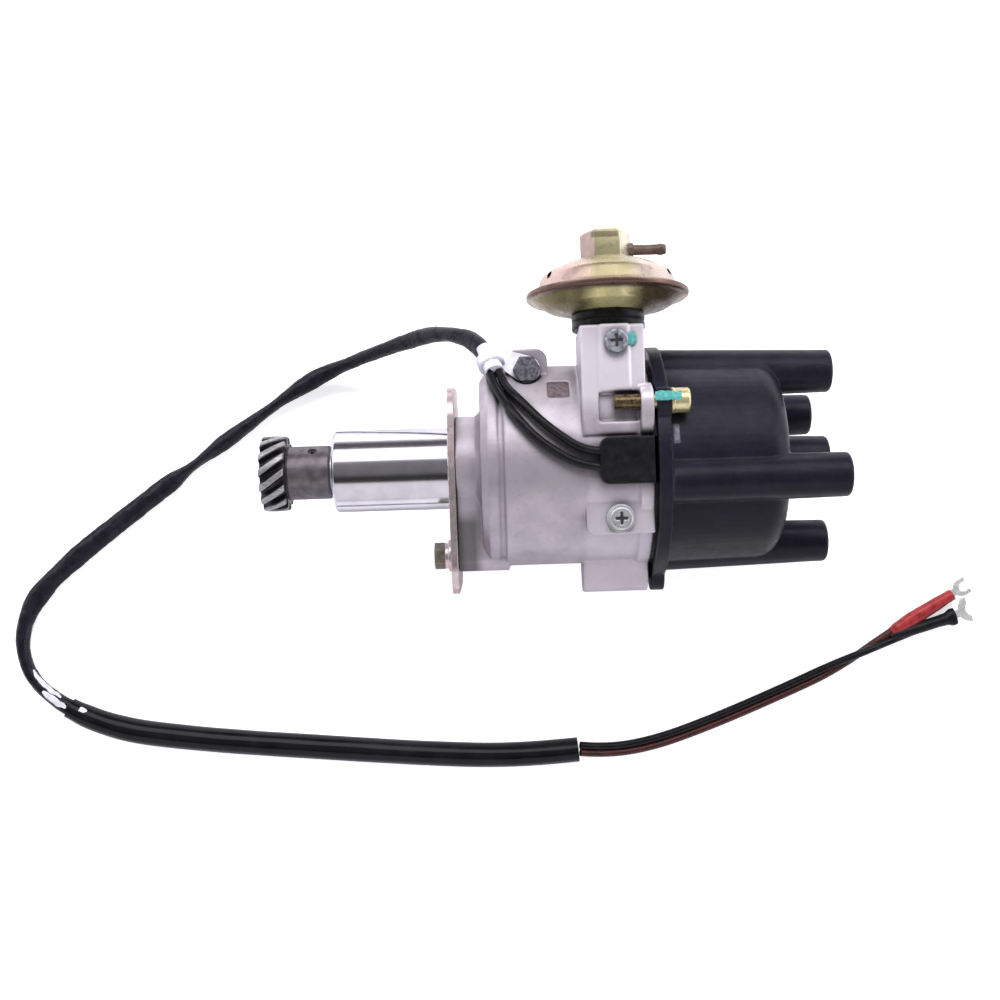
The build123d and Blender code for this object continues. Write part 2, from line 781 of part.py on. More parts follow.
# ---------------------------------------------------------------- vacuum unit
def vacuum_rod():
    """The flat rod from the link pin to the diaphragm, with its two backing plates."""
    half = rod_half_width
    strip = block((-rod_thickness / 2, -half, 0), (rod_thickness / 2, half, diaphragm_u - 0.8))
    strip += Rot(0, 90, 0) * Cylinder(half, rod_thickness)
    strip -= Rot(0, 90, 0) * Cylinder(link_pin_r + 0.25, rod_thickness + 2)
    return strip + disc(diaphragm_plate_r, diaphragm_u - 0.8, diaphragm_u + 0.8)


def vacuum_diaphragm():
    """The rubber annulus clamped in the rim, with its rolled convolution."""
    clear = diaphragm_plate_r + slide_gap
    outer = can_r - can_shell
    roll = (clear + can_dome_r - can_shell) / 2
    body = disc(outer, diaphragm_u - 0.4, diaphragm_u + 0.4, clear)
    ridge = turned([(roll - 2.2, diaphragm_u + 0.3), (roll, diaphragm_u + 2.2), (roll + 2.2, diaphragm_u + 0.3)])
    return body + ridge


def vacuum_seal_ring():
    """The rubber ring between the block and the can."""
    ring = disc(seal_ring_r, block_reach + face_gap, ring_end, can_neck_r)
    return fillet(ring.edges().group_by(Axis.Z)[-1].sort_by(Axis.X)[-1:], 1.2)


def vacuum_shell_lower():
    """The pressed lower shell: a neck in the block and a dish to the rim."""
    s = can_shell
    dish_mid = (can_r + seal_ring_r) / 2 + 1.5
    return turned([
        (can_neck_r - s, block_reach - 12), (can_neck_r, block_reach - 12), (can_neck_r, ring_end),
        (seal_ring_r - 0.6, ring_end), (dish_mid, ring_end + 2.2), (can_r - 1.4, rim_low), (can_r, rim_low),
        (can_r, diaphragm_u - 0.4), (can_r - 2.4, diaphragm_u - 0.4), (dish_mid - 0.2, ring_end + 2.2 + s),
        (seal_ring_r - 1.0, ring_end + s), (can_neck_r - s, ring_end + s),
    ])


def can_dome(inset):
    """The domed form of the upper shell, drawn in by a wall."""
    low = diaphragm_u + 0.4
    shoulder = rim_high + can_shoulder_height - inset
    form = turned([(0, low), (can_dome_r - inset, low), (can_shoulder_r - inset, shoulder),
                   (can_top_r - inset, can_top - inset), (0, can_top - inset)])
    rings = form.edges().filter_by(GeomType.CIRCLE).filter_by_position(Axis.Z, shoulder - 0.01, shoulder + 0.01)
    return fillet(rings, can_shoulder_round - inset)


def vacuum_shell_upper():
    """The pressed upper shell, with its hexagonal boss."""
    shell = disc(can_r + 0.3, diaphragm_u + 0.4, rim_high) + can_dome(0) - can_dome(can_shell)
    for azimuth in can_hole_azimuths:
        side = Rot(0, 0, azimuth) * Pos(can_shoulder_r - 5, 0, 0) * Rot(0, 90, 0)
        shell -= Pos(0, 0, rim_high + can_hole_height) * side * Cylinder(can_hole_r, 10, align=BASE)
    boss = Pos(0, 0, can_top - 0.3) * extrude(RegularPolygon(can_hex_r, 6), can_hex_height + 0.3)
    boss &= turned([(0, 0), (can_hex_r + 1, 0), (can_hex_r + 1, can_top + can_hex_height - 1),
                    (can_hex_r - 1.4, can_top + can_hex_height), (0, can_top + can_hex_height)])
    boss -= disc(2.2, can_top - 2, can_top + can_hex_height - 3)
    shell -= disc(2.2, can_top - 2, can_top + 1)
    body = shell + boss
    return body - nipple_seat() * Cylinder(nipple_collar_r, 2 * can_hex_r, align=BASE)


def nipple_seat():
    """The frame of the nipple: on the boss axis, z pointing out through its side."""
    return Pos(0, 0, can_top + can_hex_height * 0.36) * Rot(0, 90, 0) * Pos(0, 0, 2)


def vacuum_nipple():
    """The hose nipple pressed into the side of the boss."""
    shoulder = can_hex_r + nipple_collar - 2
    reach = shoulder + nipple_length
    body = Cylinder(nipple_r, reach, align=BASE)
    body = chamfer(body.edges().sort_by(Axis.Z)[-1], 0.4)
    body += Cylinder(nipple_collar_r, shoulder, align=BASE)
    return nipple_seat() * (body - Cylinder(nipple_bore_r, reach + 1, align=BASE))


def vacuum_spring():
    """The return spring between the diaphragm plate and the upper shell."""
    return coil(7.5, 0.7, diaphragm_u + 0.8 + face_gap, can_top - can_shell - face_gap, 4)


# ---------------------------------------------------------------- cap
cap_low = rim_z + gasket_thickness
ear_top = cap_low + cap_base_height
brush_low = rotor_tip_z + 1.5 + face_gap
brush_high = brush_low + brush_length
post_face = rotor_tip_r + rotor_gap


def cap_gasket():
    """The flat seal between the rim and the cap."""
    ring = disc(rim_flange_r - 0.2, rim_z, cap_low, upper_bore_r + 0.4)
    return ring - block((-grommet_width / 2, 20, rim_z - 1), (grommet_width / 2, 40, cap_low + 1))


def tower(x, y, low, high):
    """One slightly tapered lead tower."""
    body = Pos(x, y, low) * Cone(tower_r + 0.5, tower_r, high - low, align=BASE)
    return chamfer(body.edges().sort_by(Axis.Z)[-1], 0.8)


def column(azimuth):
    """The half-round column that runs from a tower down the cap's side to its base."""
    foot = polar(column_foot_radius, azimuth, ear_top - 1)
    head = polar(tower_radius, azimuth, tower_tip_z - 4)
    height = (Vector(*head) - Vector(*foot)).length
    return between(foot, head) * Cylinder(tower_r, height, align=BASE)


def distributor_cap():
    """The moulded cap with its lead towers, screw ears and locating ear."""
    body = turned([(0, cap_low), (cap_base_r, cap_low), (cap_base_r, ear_top - 0.4), (cap_body_r, ear_top),
                   (cap_top_r, cap_top_z), (0, cap_top_z)])
    body = fillet(body.edges().sort_by(Axis.Z)[-1], cap_shoulder)
    for azimuth in tower_azimuths:
        x, y, _ = polar(tower_radius, azimuth)
        body += tower(x, y, cap_ceiling_z - 22, tower_tip_z)
        body += column(azimuth)
    body += tower(0, 0, cap_ceiling_z, tower_tip_z)
    for side in (0, 180):
        x, y, _ = polar(cap_screw_radius, cap_screw_azimuth + side)
        inner = polar(cap_screw_radius - 8, cap_screw_azimuth + side)
        body += hull([(x, y, cap_ear_r), (inner[0], inner[1], cap_ear_r + 4)], cap_low, ear_top)
    lug_x, lug_y, _ = polar(lug_radius, lug_azimuth)
    body += hull([(lug_x, lug_y, lug_r), (lug_x * 0.7, lug_y, lug_r + 4)], cap_low, ear_top)
    # the inside
    body -= turned([(0, cap_low - 1), (upper_bore_r + 1.6, cap_low - 1), (upper_bore_r + 1.6, cap_low + 3),
                    (cap_cavity_r, cap_low + 4.5), (cap_cavity_r - 1, cap_ceiling_z - 8),
                    (cap_cavity_r - 9, cap_ceiling_z), (0, cap_ceiling_z)])
    for azimuth in post_azimuths:
        x, y, _ = polar(post_face + post_r, azimuth)
        body += disc(post_r + 1.6, cap_ceiling_z - 3, cap_ceiling_z + 0.5, 0, (x, y))
    body += disc(brush_r + 2.2, brush_high - 3.5, cap_ceiling_z + 0.5)
    for azimuth in tower_azimuths:
        x, y, _ = polar(tower_radius, azimuth)
        body -= disc(socket_r, tower_tip_z - socket_depth, tower_tip_z + 1, 0, (x, y))
    body -= disc(socket_r, tower_tip_z - socket_depth, tower_tip_z + 1)
    for solid in plug_inserts() + [coil_insert()]:
        body -= solid
    body -= disc(brush_r + running, brush_low, coil_contact_z)
    for side in (0, 180):
        spot = polar(cap_screw_radius, cap_screw_azimuth + side)[:2]
        body -= disc(cap_screw_r + screw_clearance, cap_low - 1, ear_top + 1, 0, spot)
    return body + locating_peg()


socket_floor = tower_tip_z - socket_depth
coil_contact_z = socket_floor - 2.5


def plug_insert(tower_azimuth, post_azimuth):
    """One side terminal: a pin in the tower's floor, a moulded strap and the electrode post."""
    px, py, _ = polar(post_face + post_r, post_azimuth)
    tx, ty, _ = polar(tower_radius, tower_azimuth)
    strap_low = cap_ceiling_z + strap_cover
    body = disc(post_r, rotor_tip_z - 2.5, strap_low + 1.6, 0, (px, py))
    body += hull([(px, py, post_r), (tx, ty, post_r)], strap_low, strap_low + 1.6)
    body += disc(post_r - 0.4, strap_low, socket_floor, 0, (tx, ty))
    return body


def plug_inserts():
    """The four side terminals."""
    return [plug_insert(t, p) for t, p in zip(tower_azimuths, post_azimuths)]


def coil_insert():
    """The centre terminal."""
    return disc(socket_r - 1, coil_contact_z, socket_floor)


def carbon_brush():
    """The brush that the spring presses on the rotor."""
    return disc(brush_r, brush_low, brush_high)


def brush_spring():
    """The spring behind the brush."""
    return coil(1.7, 0.35, brush_high, coil_contact_z, 3)


def cap_screws():
    """The two cap screws with their washers, heads on the ears."""
    screws = []
    for side in (0, 180):
        spot = polar(cap_screw_radius, cap_screw_azimuth + side)[:2]
        body = disc(cap_ear_r - 0.2, ear_top, ear_top + 0.9, 0, spot)
        head = disc(cap_screw_head_r, ear_top + 0.9, ear_top + 0.9 + cap_screw_head_height, 0, spot)
        head = fillet(head.edges().sort_by(Axis.Z)[-1], 1.0)
        top = ear_top + 0.9 + cap_screw_head_height
        cross = Box(5.2, 1.1, 2.4) + Box(1.1, 5.2, 2.4)
        body += head - Pos(spot[0], spot[1], top) * Rot(0, 0, 20) * cross
        body += disc(cap_screw_r, rim_z - cap_screw_grip, ear_top, 0, spot)
        screws.append(body)
    return group(screws)


def rotor_arm():
    """The moulded rotor arm on the flat of the rotor shaft."""
    reach = rotor_tip_r - 5
    azimuth = post_azimuths[0]
    tip = polar(reach, azimuth)
    body = turned([(0, rotor_low + 3), (10.5, rotor_low + 3), (11.5, rotor_low + 16), (13, rotor_tip_z - 6),
                   (13, rotor_tip_z), (0, rotor_tip_z)])
    body += hull([(0, 0, 12), (tip[0], tip[1], 4.2)], rotor_tip_z - 6, rotor_tip_z)
    socket = disc(sleeve_r + running, rotor_low, sleeve_top) \
        - block((sleeve_r - 1.0 + running, -10, rotor_low), (sleeve_r + 5, 10, sleeve_top))
    return body - socket - disc(5.6, sleeve_top - 0.2, sleeve_top + 4)


def rotor_electrode():
    """The brass strip from the centre contact to the rotor's tip."""
    tip = polar(rotor_tip_r - 2.6, post_azimuths[0])
    body = hull([(0, 0, 3.6), (tip[0], tip[1], 2.6)], rotor_tip_z, rotor_tip_z + 1.5)
    return body


# ---------------------------------------------------------------- leads, clip and harness
# Routes lie in the lying frame: x along the shaft, y towards the vacuum unit, z up.
def over_drum(along, azimuth, lift):
    """A point of a lead's route, at a height above the drum."""
    y, z, _ = polar(drum_r + lift, azimuth)
    return (along, y, z)


lead_routes = (
    [over_drum(52.5, 85.86, 1.99), over_drum(43, 83.69, 2.42), over_drum(32, 71.27, 3.38),
     over_drum(24.2, 56.05, 2.89), over_drum(19.6, 43.86, 1.65),
     (17.85, 30.97, 20.47)],
    [over_drum(52.5, 94.14, 1.99), over_drum(41, 90.63, 2.30), over_drum(29.8, 79.00, 2.67),
     over_drum(22, 64.40, 3.03), over_drum(16.7, 45.11, 1.28),
     (14.95, 30.2, 20.75)],
)
sheath_route = [
    (16.4, 30.6, 20.6), (12.6, 42.0, 11.5), (-2.0, 47.6, -3.0), (-16.0, 46.0, -17.0),
    (-33.0, 41.8, -28.5), (-52.0, 35.6, -35.0), (-82.0, 15.4, -36.2), (-120.0, -11.4, -36.2),
    (-154.0, -37.4, -36.2), (-163.0, -54.0, -36.2), (-161.0, -69.5, -35.6), (-151.5, -79.7, -34.7),
    (-145.0, -83.5, -34.7),
]
tube_route = [
    (-145.0, -83.5, -34.7), (-132.0, -91.1, -34.7), (-98.0, -96.6, -34.7), (-52.0, -101.0, -34.7),
    (-8.0, -105.0, -34.7), (22.0, -106.4, -34.7), (43.0, -104.8, -34.7),
]
red_route = [
    (43.8, -103.0, -35.2), (54.0, -104.4, -37.6), (72.0, -102.0, -37.9), (94.0, -94.4, -37.9),
    (118.0, -84.4, -37.9), (142.0, -74.6, -37.9), (160.0, -65.5, -37.6), (173.0, -58.0, -37.3),
]
black_route = [
    (43.8, -106.6, -35.2), (54.0, -108.4, -37.6), (72.0, -105.8, -37.9), (95.0, -98.6, -37.9),
    (120.0, -88.8, -37.9), (144.0, -78.4, -37.9), (159.5, -69.0, -37.6), (173.5, -63.8, -37.3),
]
module_route = [
    (59.0, 0.0, 33.0), (59.2, -0.6, 27.4), (61.4, -9.0, 23.4), (62.2, -20.5, 17.8), (60.5, -26.8, 8.5),
    (56.5, -27.8, -0.6), (54.7, -25.1, -8.5),
]


def lead_grommet():
    """The rubber grommet in the wall notch, with a hood over the two leads."""
    half = grommet_width / 2
    low = grommet_z - grommet_length / 2
    flange_low = rim_z - rim_flange_height - 1
    neck = grommet_notch() & block((-half, upper_bore_r - 1.6, 0), (half, drum_r + 3, rim_z - face_gap))
    hood = block((-half, drum_r - 2, low), (half, drum_r + 4.2, rim_z - face_gap))
    hood = fillet(hood.edges().filter_by(Axis.Y).group_by(Axis.Z)[0], 3.0)
    hood -= disc(drum_r, 0, flange_low)
    hood -= disc(rim_flange_r, flange_low, rim_z)
    return lying * (neck + hood) - igniter_leads() - module_cable()


def igniter_leads():
    """The two leads from the grommet to the harness, held all the way."""
    return group([tube(route, lead_r, bend_radii(route)) for route in lead_routes])


def module_cable():
    """The cable inside the drum, from the ignition module to the grommet."""
    return tube(module_route, cable_r, bend_radii(module_route))


def harness_clip():
    """The bent steel clip that holds the harness to the housing."""
    hold = between(sheath_route[0], sheath_route[1])
    bore = sheath_r + sleeve_wall
    loop = hold * disc(bore + clip_thickness, clip_start, clip_start + clip_width)
    x, y, z = (clip_boss_z, clip_bolt_x, clip_boss_top)
    tab = hull([(x, y, 4.6), (x - 8.0, y + 4.0, 3.0)], z, z + clip_thickness)
    body = tab + loop - hold * disc(bore, -5, 20)
    return body - disc(clamp_bolt_r + face_gap, z - 1, z + 3, 0, (x, y))


def clip_bolt():
    """The hexagon bolt of the harness clip."""
    head = extrude(RegularPolygon(clamp_head_af / 2, 6, major_radius=False), clamp_head_height)
    bolt = head & disc(clamp_head_af * 0.565, 0, clamp_head_height)
    bolt += disc(clamp_bolt_r, -clip_bolt_length - clip_thickness, 0)
    return Pos(clip_boss_z, clip_bolt_x, clip_boss_top + clip_thickness) * bolt


def harness_sleeve():
    """The clear sleeve on the first stretch of the harness, under the clip."""
    return between(sheath_route[0], sheath_route[1]) * disc(sheath_r + sleeve_wall, 0, sleeve_length, sheath_r)


def terminal_frame(route):
    """The frame at a lead's end: x on along the lead, z square to the terminal's flat."""
    run = Vector(*route[-1]) - Vector(*route[-2])
    return Plane(origin=route[-1], x_dir=run, z_dir=Vector(0, 0, 1) - run * (run.Z / run.length**2)).location


def terminal_sleeve(route):
    """The coloured sleeve over the crimp, half of it on the lead."""
    sleeve = disc(terminal_sleeve_r, -lead_in_sleeve, terminal_sleeve_length - lead_in_sleeve, lead_r)
    return terminal_frame(route) * Rot(0, 90, 0) * sleeve


def fork_terminal(route, width, slot, length):
    """A fork terminal: crimp barrel, flattened neck and two prongs."""
    half = terminal_thickness / 2
    mouth = terminal_sleeve_length - lead_in_sleeve
    barrel = Rot(0, 90, 0) * disc(lead_r, 0, mouth + 0.6)
    neck = block((mouth, -lead_r, -half), (mouth + 3, lead_r, half))
    back = mouth + 2 + width / 2
    palm = hull([(back, 0, width / 2), (back + length - width / 2 - 0.8, 0, width / 2)], -half, half)
    palm -= block((back + length - width - 0.2, -width, -1), (back + length + width, width, 1))
    gap = hull([(back + 0.6, 0, slot / 2), (back + length + width, 0, slot / 2)], -1, 1)
    return terminal_frame(route) * (barrel + neck + palm - gap)


# ---------------------------------------------------------------- the assembly
def upright_nodes():
    """Every node built about the upright shaft axis."""
    lower_bush, upper_bush = bushes()
    clamp_bolt, clamp_washers = clamp_fastener()
    return {
        "housing": housing(),
        "lower_bush": lower_bush,
        "upper_bush": upper_bush,
        "drive_gear": drive_gear(),
        "gear_roll_pin": gear_roll_pin(),
        "thrust_washer": thrust_washer(),
        "fixing_plate": fixing_plate(),
        "clamp_bolt": clamp_bolt,
        "clamp_washers": clamp_washers,
        "drive_shaft": drive_shaft(),
        "upper_thrust_washer": upper_thrust_washer(),
        "governor_plate": governor_plate(),
        "weight_pins": weight_pins(),
        "governor_weight_1": governor_weight(0),
        "governor_weight_2": governor_weight(180),
        "governor_springs": governor_springs(),
        "rotor_shaft": rotor_shaft(),
        "rotor_shaft_screw": rotor_shaft_screw(),
        "reluctor": reluctor(),
        "reluctor_key": reluctor_key(),
        "pickup_base_plate": pickup_base_plate(),
        "plate_circlip": plate_circlip(),
        "pickup_plate": pickup_plate(),
        "magnet_ring": magnet_ring(),
        "pickup_coil": pickup_coil(),
        "stator": stator(),
        "side_screws": side_screws(),
        "igniter_module": igniter_module(),
        "vacuum_screw": vacuum_screw(),
        "cap_gasket": cap_gasket(),
        "distributor_cap": distributor_cap(),
        "plug_terminals": group(plug_inserts()),
        "coil_terminal": coil_insert(),
        "brush_spring": brush_spring(),
        "carbon_brush": carbon_brush(),
        "cap_screws": cap_screws(),
        "rotor_arm": rotor_arm(),
        "rotor_electrode": rotor_electrode(),
    }


def vacuum_nodes():
    """The nodes of the vacuum unit, built about its own axis."""
    return {
        "vacuum_seal_ring": vacuum_seal_ring(),
        "vacuum_shell_lower": vacuum_shell_lower(),
        "vacuum_shell_upper": vacuum_shell_upper(),
        "vacuum_nipple": vacuum_nipple(),
        "vacuum_diaphragm": vacuum_diaphragm(),
        "vacuum_spring": vacuum_spring(),
        "vacuum_rod": vacuum_rod(),
    }


def harness_nodes():
    """The leads, the harness and what is on them, built in the lying frame."""
    return {
        "lead_grommet": lead_grommet(),
        "igniter_leads": igniter_leads(),
        "module_cable": module_cable(),
        "harness_clip": harness_clip(),
        "clip_bolt": clip_bolt(),
        "harness_sleeve": harness_sleeve(),
        "harness_sheath": cord(sheath_route, sheath_r, "harness_sheath"),
        "harness_tube": cord(tube_route, tube_r, "harness_tube"),
        "lead_red": cord(red_route, lead_r, "lead_red"),
        "lead_black": cord(black_route, lead_r, "lead_black"),
        "red_terminal_sleeve": terminal_sleeve(red_route),
        "black_terminal_sleeve": terminal_sleeve(black_route),
        "red_fork_terminal": fork_terminal(red_route, 6.4, 3.4, 9.0),
        "black_fork_terminal": fork_terminal(black_route, 9.6, 5.4, 9.0),
    }


def main():
    """Build every node and write one STEP each."""
    os.makedirs("parts", exist_ok=True)
    nodes = {name: lying * shape for name, shape in upright_nodes().items()}
    nodes.update({name: lying * vacuum * shape for name, shape in vacuum_nodes().items()})
    nodes.update(harness_nodes())
    for name, shape in nodes.items():
        export_step(shape, f"parts/{name}.step")
    print(len(nodes), "nodes")


main()
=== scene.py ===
import bpy
import bmesh
import json
import math
from mathutils import Matrix, Vector, noise
from mathutils.bvhtree import BVHTree

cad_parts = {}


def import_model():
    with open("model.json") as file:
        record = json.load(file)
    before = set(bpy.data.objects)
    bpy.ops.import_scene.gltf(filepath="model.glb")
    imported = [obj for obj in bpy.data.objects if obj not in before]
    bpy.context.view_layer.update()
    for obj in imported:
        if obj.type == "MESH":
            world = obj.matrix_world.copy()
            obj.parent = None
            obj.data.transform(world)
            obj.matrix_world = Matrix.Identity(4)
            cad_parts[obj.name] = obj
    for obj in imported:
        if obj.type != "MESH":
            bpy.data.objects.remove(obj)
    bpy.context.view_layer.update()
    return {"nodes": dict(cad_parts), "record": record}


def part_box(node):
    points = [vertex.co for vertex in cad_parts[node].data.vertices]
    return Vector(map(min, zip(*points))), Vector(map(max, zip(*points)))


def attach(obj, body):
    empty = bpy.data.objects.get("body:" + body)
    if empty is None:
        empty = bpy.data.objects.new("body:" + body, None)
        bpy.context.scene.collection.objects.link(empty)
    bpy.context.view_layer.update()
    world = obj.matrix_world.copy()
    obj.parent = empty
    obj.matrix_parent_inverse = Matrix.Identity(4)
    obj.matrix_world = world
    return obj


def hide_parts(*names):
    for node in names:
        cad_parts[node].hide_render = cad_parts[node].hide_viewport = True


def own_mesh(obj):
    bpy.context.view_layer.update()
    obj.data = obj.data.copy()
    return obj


# An ignition distributor on a pale floor. Lengths in the helpers are millimetres; Blender gets metres.
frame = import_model()
MM = 0.001
FLOOR = -39.46


# ---------------------------------------------------------------- camera, floor and light
def add_object(name, data):
    """A new object at the origin."""
    piece = bpy.data.objects.new(name, data)
    bpy.context.scene.collection.objects.link(piece)
    return piece


def camera():
    """Straight above, 450 mm over the shaft axis, with the axis rising a little to the right."""
    data = bpy.data.cameras.new("camera")
    data.sensor_fit = "HORIZONTAL"
    data.angle = math.radians(41.9)
    data.clip_start = 0.01
    eye = add_object("camera", data)
    eye.location = Vector((16.9, -11.4, 450)) * MM
    eye.rotation_euler = (0, 0, math.radians(-1.8))
    bpy.context.scene.camera = eye


camera()
bpy.context.scene.view_settings.view_transform = "Standard"


# ---------------------------------------------------------------- shader helpers
def add(tree, kind, values=None, **settings):
    """A node with its settings, input values and links."""
    node = tree.nodes.new("ShaderNode" + kind)
    for key, value in settings.items():
        setattr(node, key, value)
    for key, value in (values or {}).items():
        if isinstance(value, bpy.types.NodeSocket):
            tree.links.new(value, node.inputs[key])
        else:
            node.inputs[key].default_value = value
    return node


def material(name, **sockets):
    """A principled material with plain socket values."""
    made = bpy.data.materials.new(name)
    made.use_nodes = True
    shader = made.node_tree.nodes["Principled BSDF"]
    for key, value in sockets.items():
        shader.inputs[key.replace("_", " ")].default_value = value
    return made, made.node_tree, shader


def place_of(tree, stretch=(1, 1, 1)):
    """The point on the surface, in metres, stretched."""
    point = add(tree, "TexCoord").outputs["Object"]
    return add(tree, "Mapping", {"Vector": point, "Scale": stretch}).outputs["Vector"]


def grain(tree, size, detail=3.0, stretch=(1, 1, 1), rough=0.5):
    """Noise whose spots are about size millimetres across."""
    return add(tree, "TexNoise", {
        "Vector": place_of(tree, stretch), "Scale": 1 / (size * MM), "Detail": detail, "Roughness": rough,
    }).outputs["Fac"]


def ramp(tree, value, stops):
    """Colours along a value: (position, (r, g, b)) stops."""
    node = add(tree, "ValToRGB", {"Fac": value})
    marks = node.color_ramp.elements
    while len(marks) < len(stops):
        marks.new(0.5)
    for mark, (position, colour) in zip(marks, stops):
        mark.position = position
        mark.color = (*colour, 1)
    return node.outputs["Color"]


def between(tree, value, low, high, start=0.3, end=0.7):
    """A value spread from low to high."""
    return add(tree, "MapRange", {"Value": value, "From Min": start, "From Max": end,
                                  "To Min": low, "To Max": high}).outputs["Result"]


def mix(tree, factor, first, second):
    """One colour into another."""
    node = add(tree, "Mix", {"Factor": factor}, data_type="RGBA")
    for socket, value in ((node.inputs[6], first), (node.inputs[7], second)):
        if isinstance(value, bpy.types.NodeSocket):
            tree.links.new(value, socket)
        else:
            socket.default_value = (*value, 1)
    return node.outputs[2]


def bump(tree, height, depth, normal=None):
    """A bump of depth millimetres."""
    values = {"Height": height, "Distance": depth * MM, "Strength": 1.0}
    if normal is not None:
        values["Normal"] = normal
    return add(tree, "Bump", values).outputs["Normal"]


def edges_of(tree, reach, start=0.25, end=0.75):
    """How near a point lies to an outer edge, within reach millimetres."""
    inside = add(tree, "AmbientOcclusion", {"Distance": reach * MM}, samples=8, inside=True).outputs["AO"]
    return between(tree, inside, 1, 0, 1 - end, 1 - start)


def zone(tree, axis, rise, fall):
    """One between two places along an axis, in millimetres, with soft ends (start, end)."""
    value = along_of(tree, axis)
    up = between(tree, value, 0, 1, *rise)
    down = between(tree, value, 1, 0, *fall)
    return add(tree, "Math", {0: up, 1: down}, operation="MULTIPLY").outputs["Value"]


def times(tree, *values):
    """The product of values."""
    product = values[0]
    for value in values[1:]:
        product = add(tree, "Math", {0: product, 1: value}, operation="MULTIPLY").outputs["Value"]
    return product


def shaded(tree, colour, reach, depth):
    """A colour with painted shade in corners within reach millimetres, down to depth."""
    open_sky = add(tree, "AmbientOcclusion", {"Distance": reach * MM}, samples=8).outputs["AO"]
    shade = between(tree, open_sky, depth, 1.0, 0.25, 0.95)
    grey = add(tree, "CombineColor", {"Red": shade, "Green": shade, "Blue": shade}).outputs["Color"]
    node = add(tree, "Mix", {"Factor": 1.0}, data_type="RGBA", blend_type="MULTIPLY")
    tree.links.new(colour, node.inputs[6])
    tree.links.new(grey, node.inputs[7])
    return node.outputs[2]


def finish(name, colours, spot, rough, bumps, **sockets):
    """A surface whose colour and roughness wander over spots, with bumps of (size, depth) in millimetres."""
    made, tree, shader = material(name, **sockets)
    wander = grain(tree, spot, 4)
    stops = [(0.3 + 0.4 * n / max(1, len(colours) - 1), c) for n, c in enumerate(colours)]
    tree.links.new(ramp(tree, wander, stops), shader.inputs["Base Color"])
    tree.links.new(between(tree, grain(tree, spot * 0.6, 3), *rough), shader.inputs["Roughness"])
    normal = None
    for size, depth in bumps:
        normal = bump(tree, grain(tree, size), depth, normal)
    if normal is not None:
        tree.links.new(normal, shader.inputs["Normal"])
    return made


# ---------------------------------------------------------------- materials
def radius_of(tree):
    """The distance from the shaft axis, in millimetres."""
    point = add(tree, "TexCoord").outputs["Object"]
    across = add(tree, "VectorMath", {0: point, 1: (0, 1 / MM, 1 / MM)}, operation="MULTIPLY").outputs["Vector"]
    return add(tree, "VectorMath", {0: across}, operation="LENGTH").outputs["Value"]


def along_of(tree, axis="X"):
    """A coordinate of the surface point, in millimetres."""
    point = add(tree, "TexCoord").outputs["Object"]
    parts = add(tree, "SeparateXYZ", {"Vector": point})
    return add(tree, "Math", {0: parts.outputs[axis], 1: 1 / MM}, operation="MULTIPLY").outputs["Value"]


def link(tree, value, shader, socket):
    """A value into a socket of the shader."""
    tree.links.new(value, shader.inputs[socket])


def cast_aluminium():
    """Fine-grained die casting, with the shank and the ends turned and polished. Light is painted into its colour: the
    block and the pad faces lighter, painted shade over the drum's middle and in corners, a painted shadow under the
    neck, and edges lighter as wear and painted highlight.
    """
    made, tree, shader = material("cast_aluminium")
    skin = ramp(tree, grain(tree, 9, 5), [(0.3, (0.42, 0.375, 0.425)), (0.55, (0.52, 0.47, 0.53)),
                                          (0.72, (0.58, 0.52, 0.57))])
    stain = between(tree, grain(tree, 2.2, 6), 0.0, 0.40, 0.52, 0.75)
    skin = mix(tree, stain, skin, (0.33, 0.29, 0.325))
    # Painted light: the vacuum block and the pad faces by the side screws are made lighter, as where the lamp falls
    # more strongly.
    block = times(tree, zone(tree, "X", (42, 44), (70, 71)), between(tree, along_of(tree, "Y"), 0, 1, 15, 21))
    skin = mix(tree, block, skin, (0.74, 0.69, 0.76))
    painted_light_pads = times(tree, zone(tree, "X", (44, 46), (70, 71)), between(tree, along_of(tree, "Y"), 1, 0, -10, -7))
    skin = mix(tree, times(tree, painted_light_pads, 0.55), skin, (0.66, 0.60, 0.67))
    # Painted shade: the drum's middle, below the leads and grommet, is made darker.
    painted_shade_waist = times(tree, zone(tree, "Y", (-24, -6), (2, 14)), between(tree, along_of(tree), 1, 0, 44, 52))
    skin = mix(tree, times(tree, painted_shade_waist, 0.55), skin, (0.27, 0.24, 0.275))
    # Painted shadow: the casting under the neck, by the plate's lower side, is made dark.
    painted_shade = times(tree, zone(tree, "X", (2.2, 3.2), (8, 11)), between(tree, along_of(tree, "Y"), 1, 0, -19, -14))
    skin = mix(tree, times(tree, painted_shade, 0.85), skin, (0.105, 0.10, 0.098))
    # Painted shade in corners, and edges made lighter, partly as wear and partly as painted highlight.
    skin = mix(tree, times(tree, edges_of(tree, 0.9), 0.8), shaded(tree, skin, 3.5, 0.10), (0.80, 0.76, 0.83))
    turned = between(tree, along_of(tree), 1.0, 0.0, 0.0, 0.4)
    bright = ramp(tree, grain(tree, 6, 3), [(0.3, (0.72, 0.69, 0.76)), (0.7, (0.84, 0.81, 0.87))])
    link(tree, mix(tree, turned, skin, bright), shader, "Base Color")
    link(tree, between(tree, turned, 0.60, 1.0, 0, 1), shader, "Metallic")
    rough = between(tree, grain(tree, 4, 4), 0.36, 0.50)
    link(tree, between(tree, turned, 0.43, 0.15, 0, 1), shader, "Roughness")
    pits = bump(tree, grain(tree, 0.55, 4), 0.045)
    flow = bump(tree, grain(tree, 4.5, 3), 0.12, pits)
    lathe = bump(tree, grain(tree, 0.35, 2, (1, 0.02, 0.02)), 0.002)
    link(tree, mixed_normal(tree, turned, flow, lathe), shader, "Normal")
    return made


def mixed_normal(tree, factor, first, second):
    """One normal into another."""
    return add(tree, "Mix", {"Factor": factor, 4: first, 5: second}, data_type="VECTOR").outputs[1]


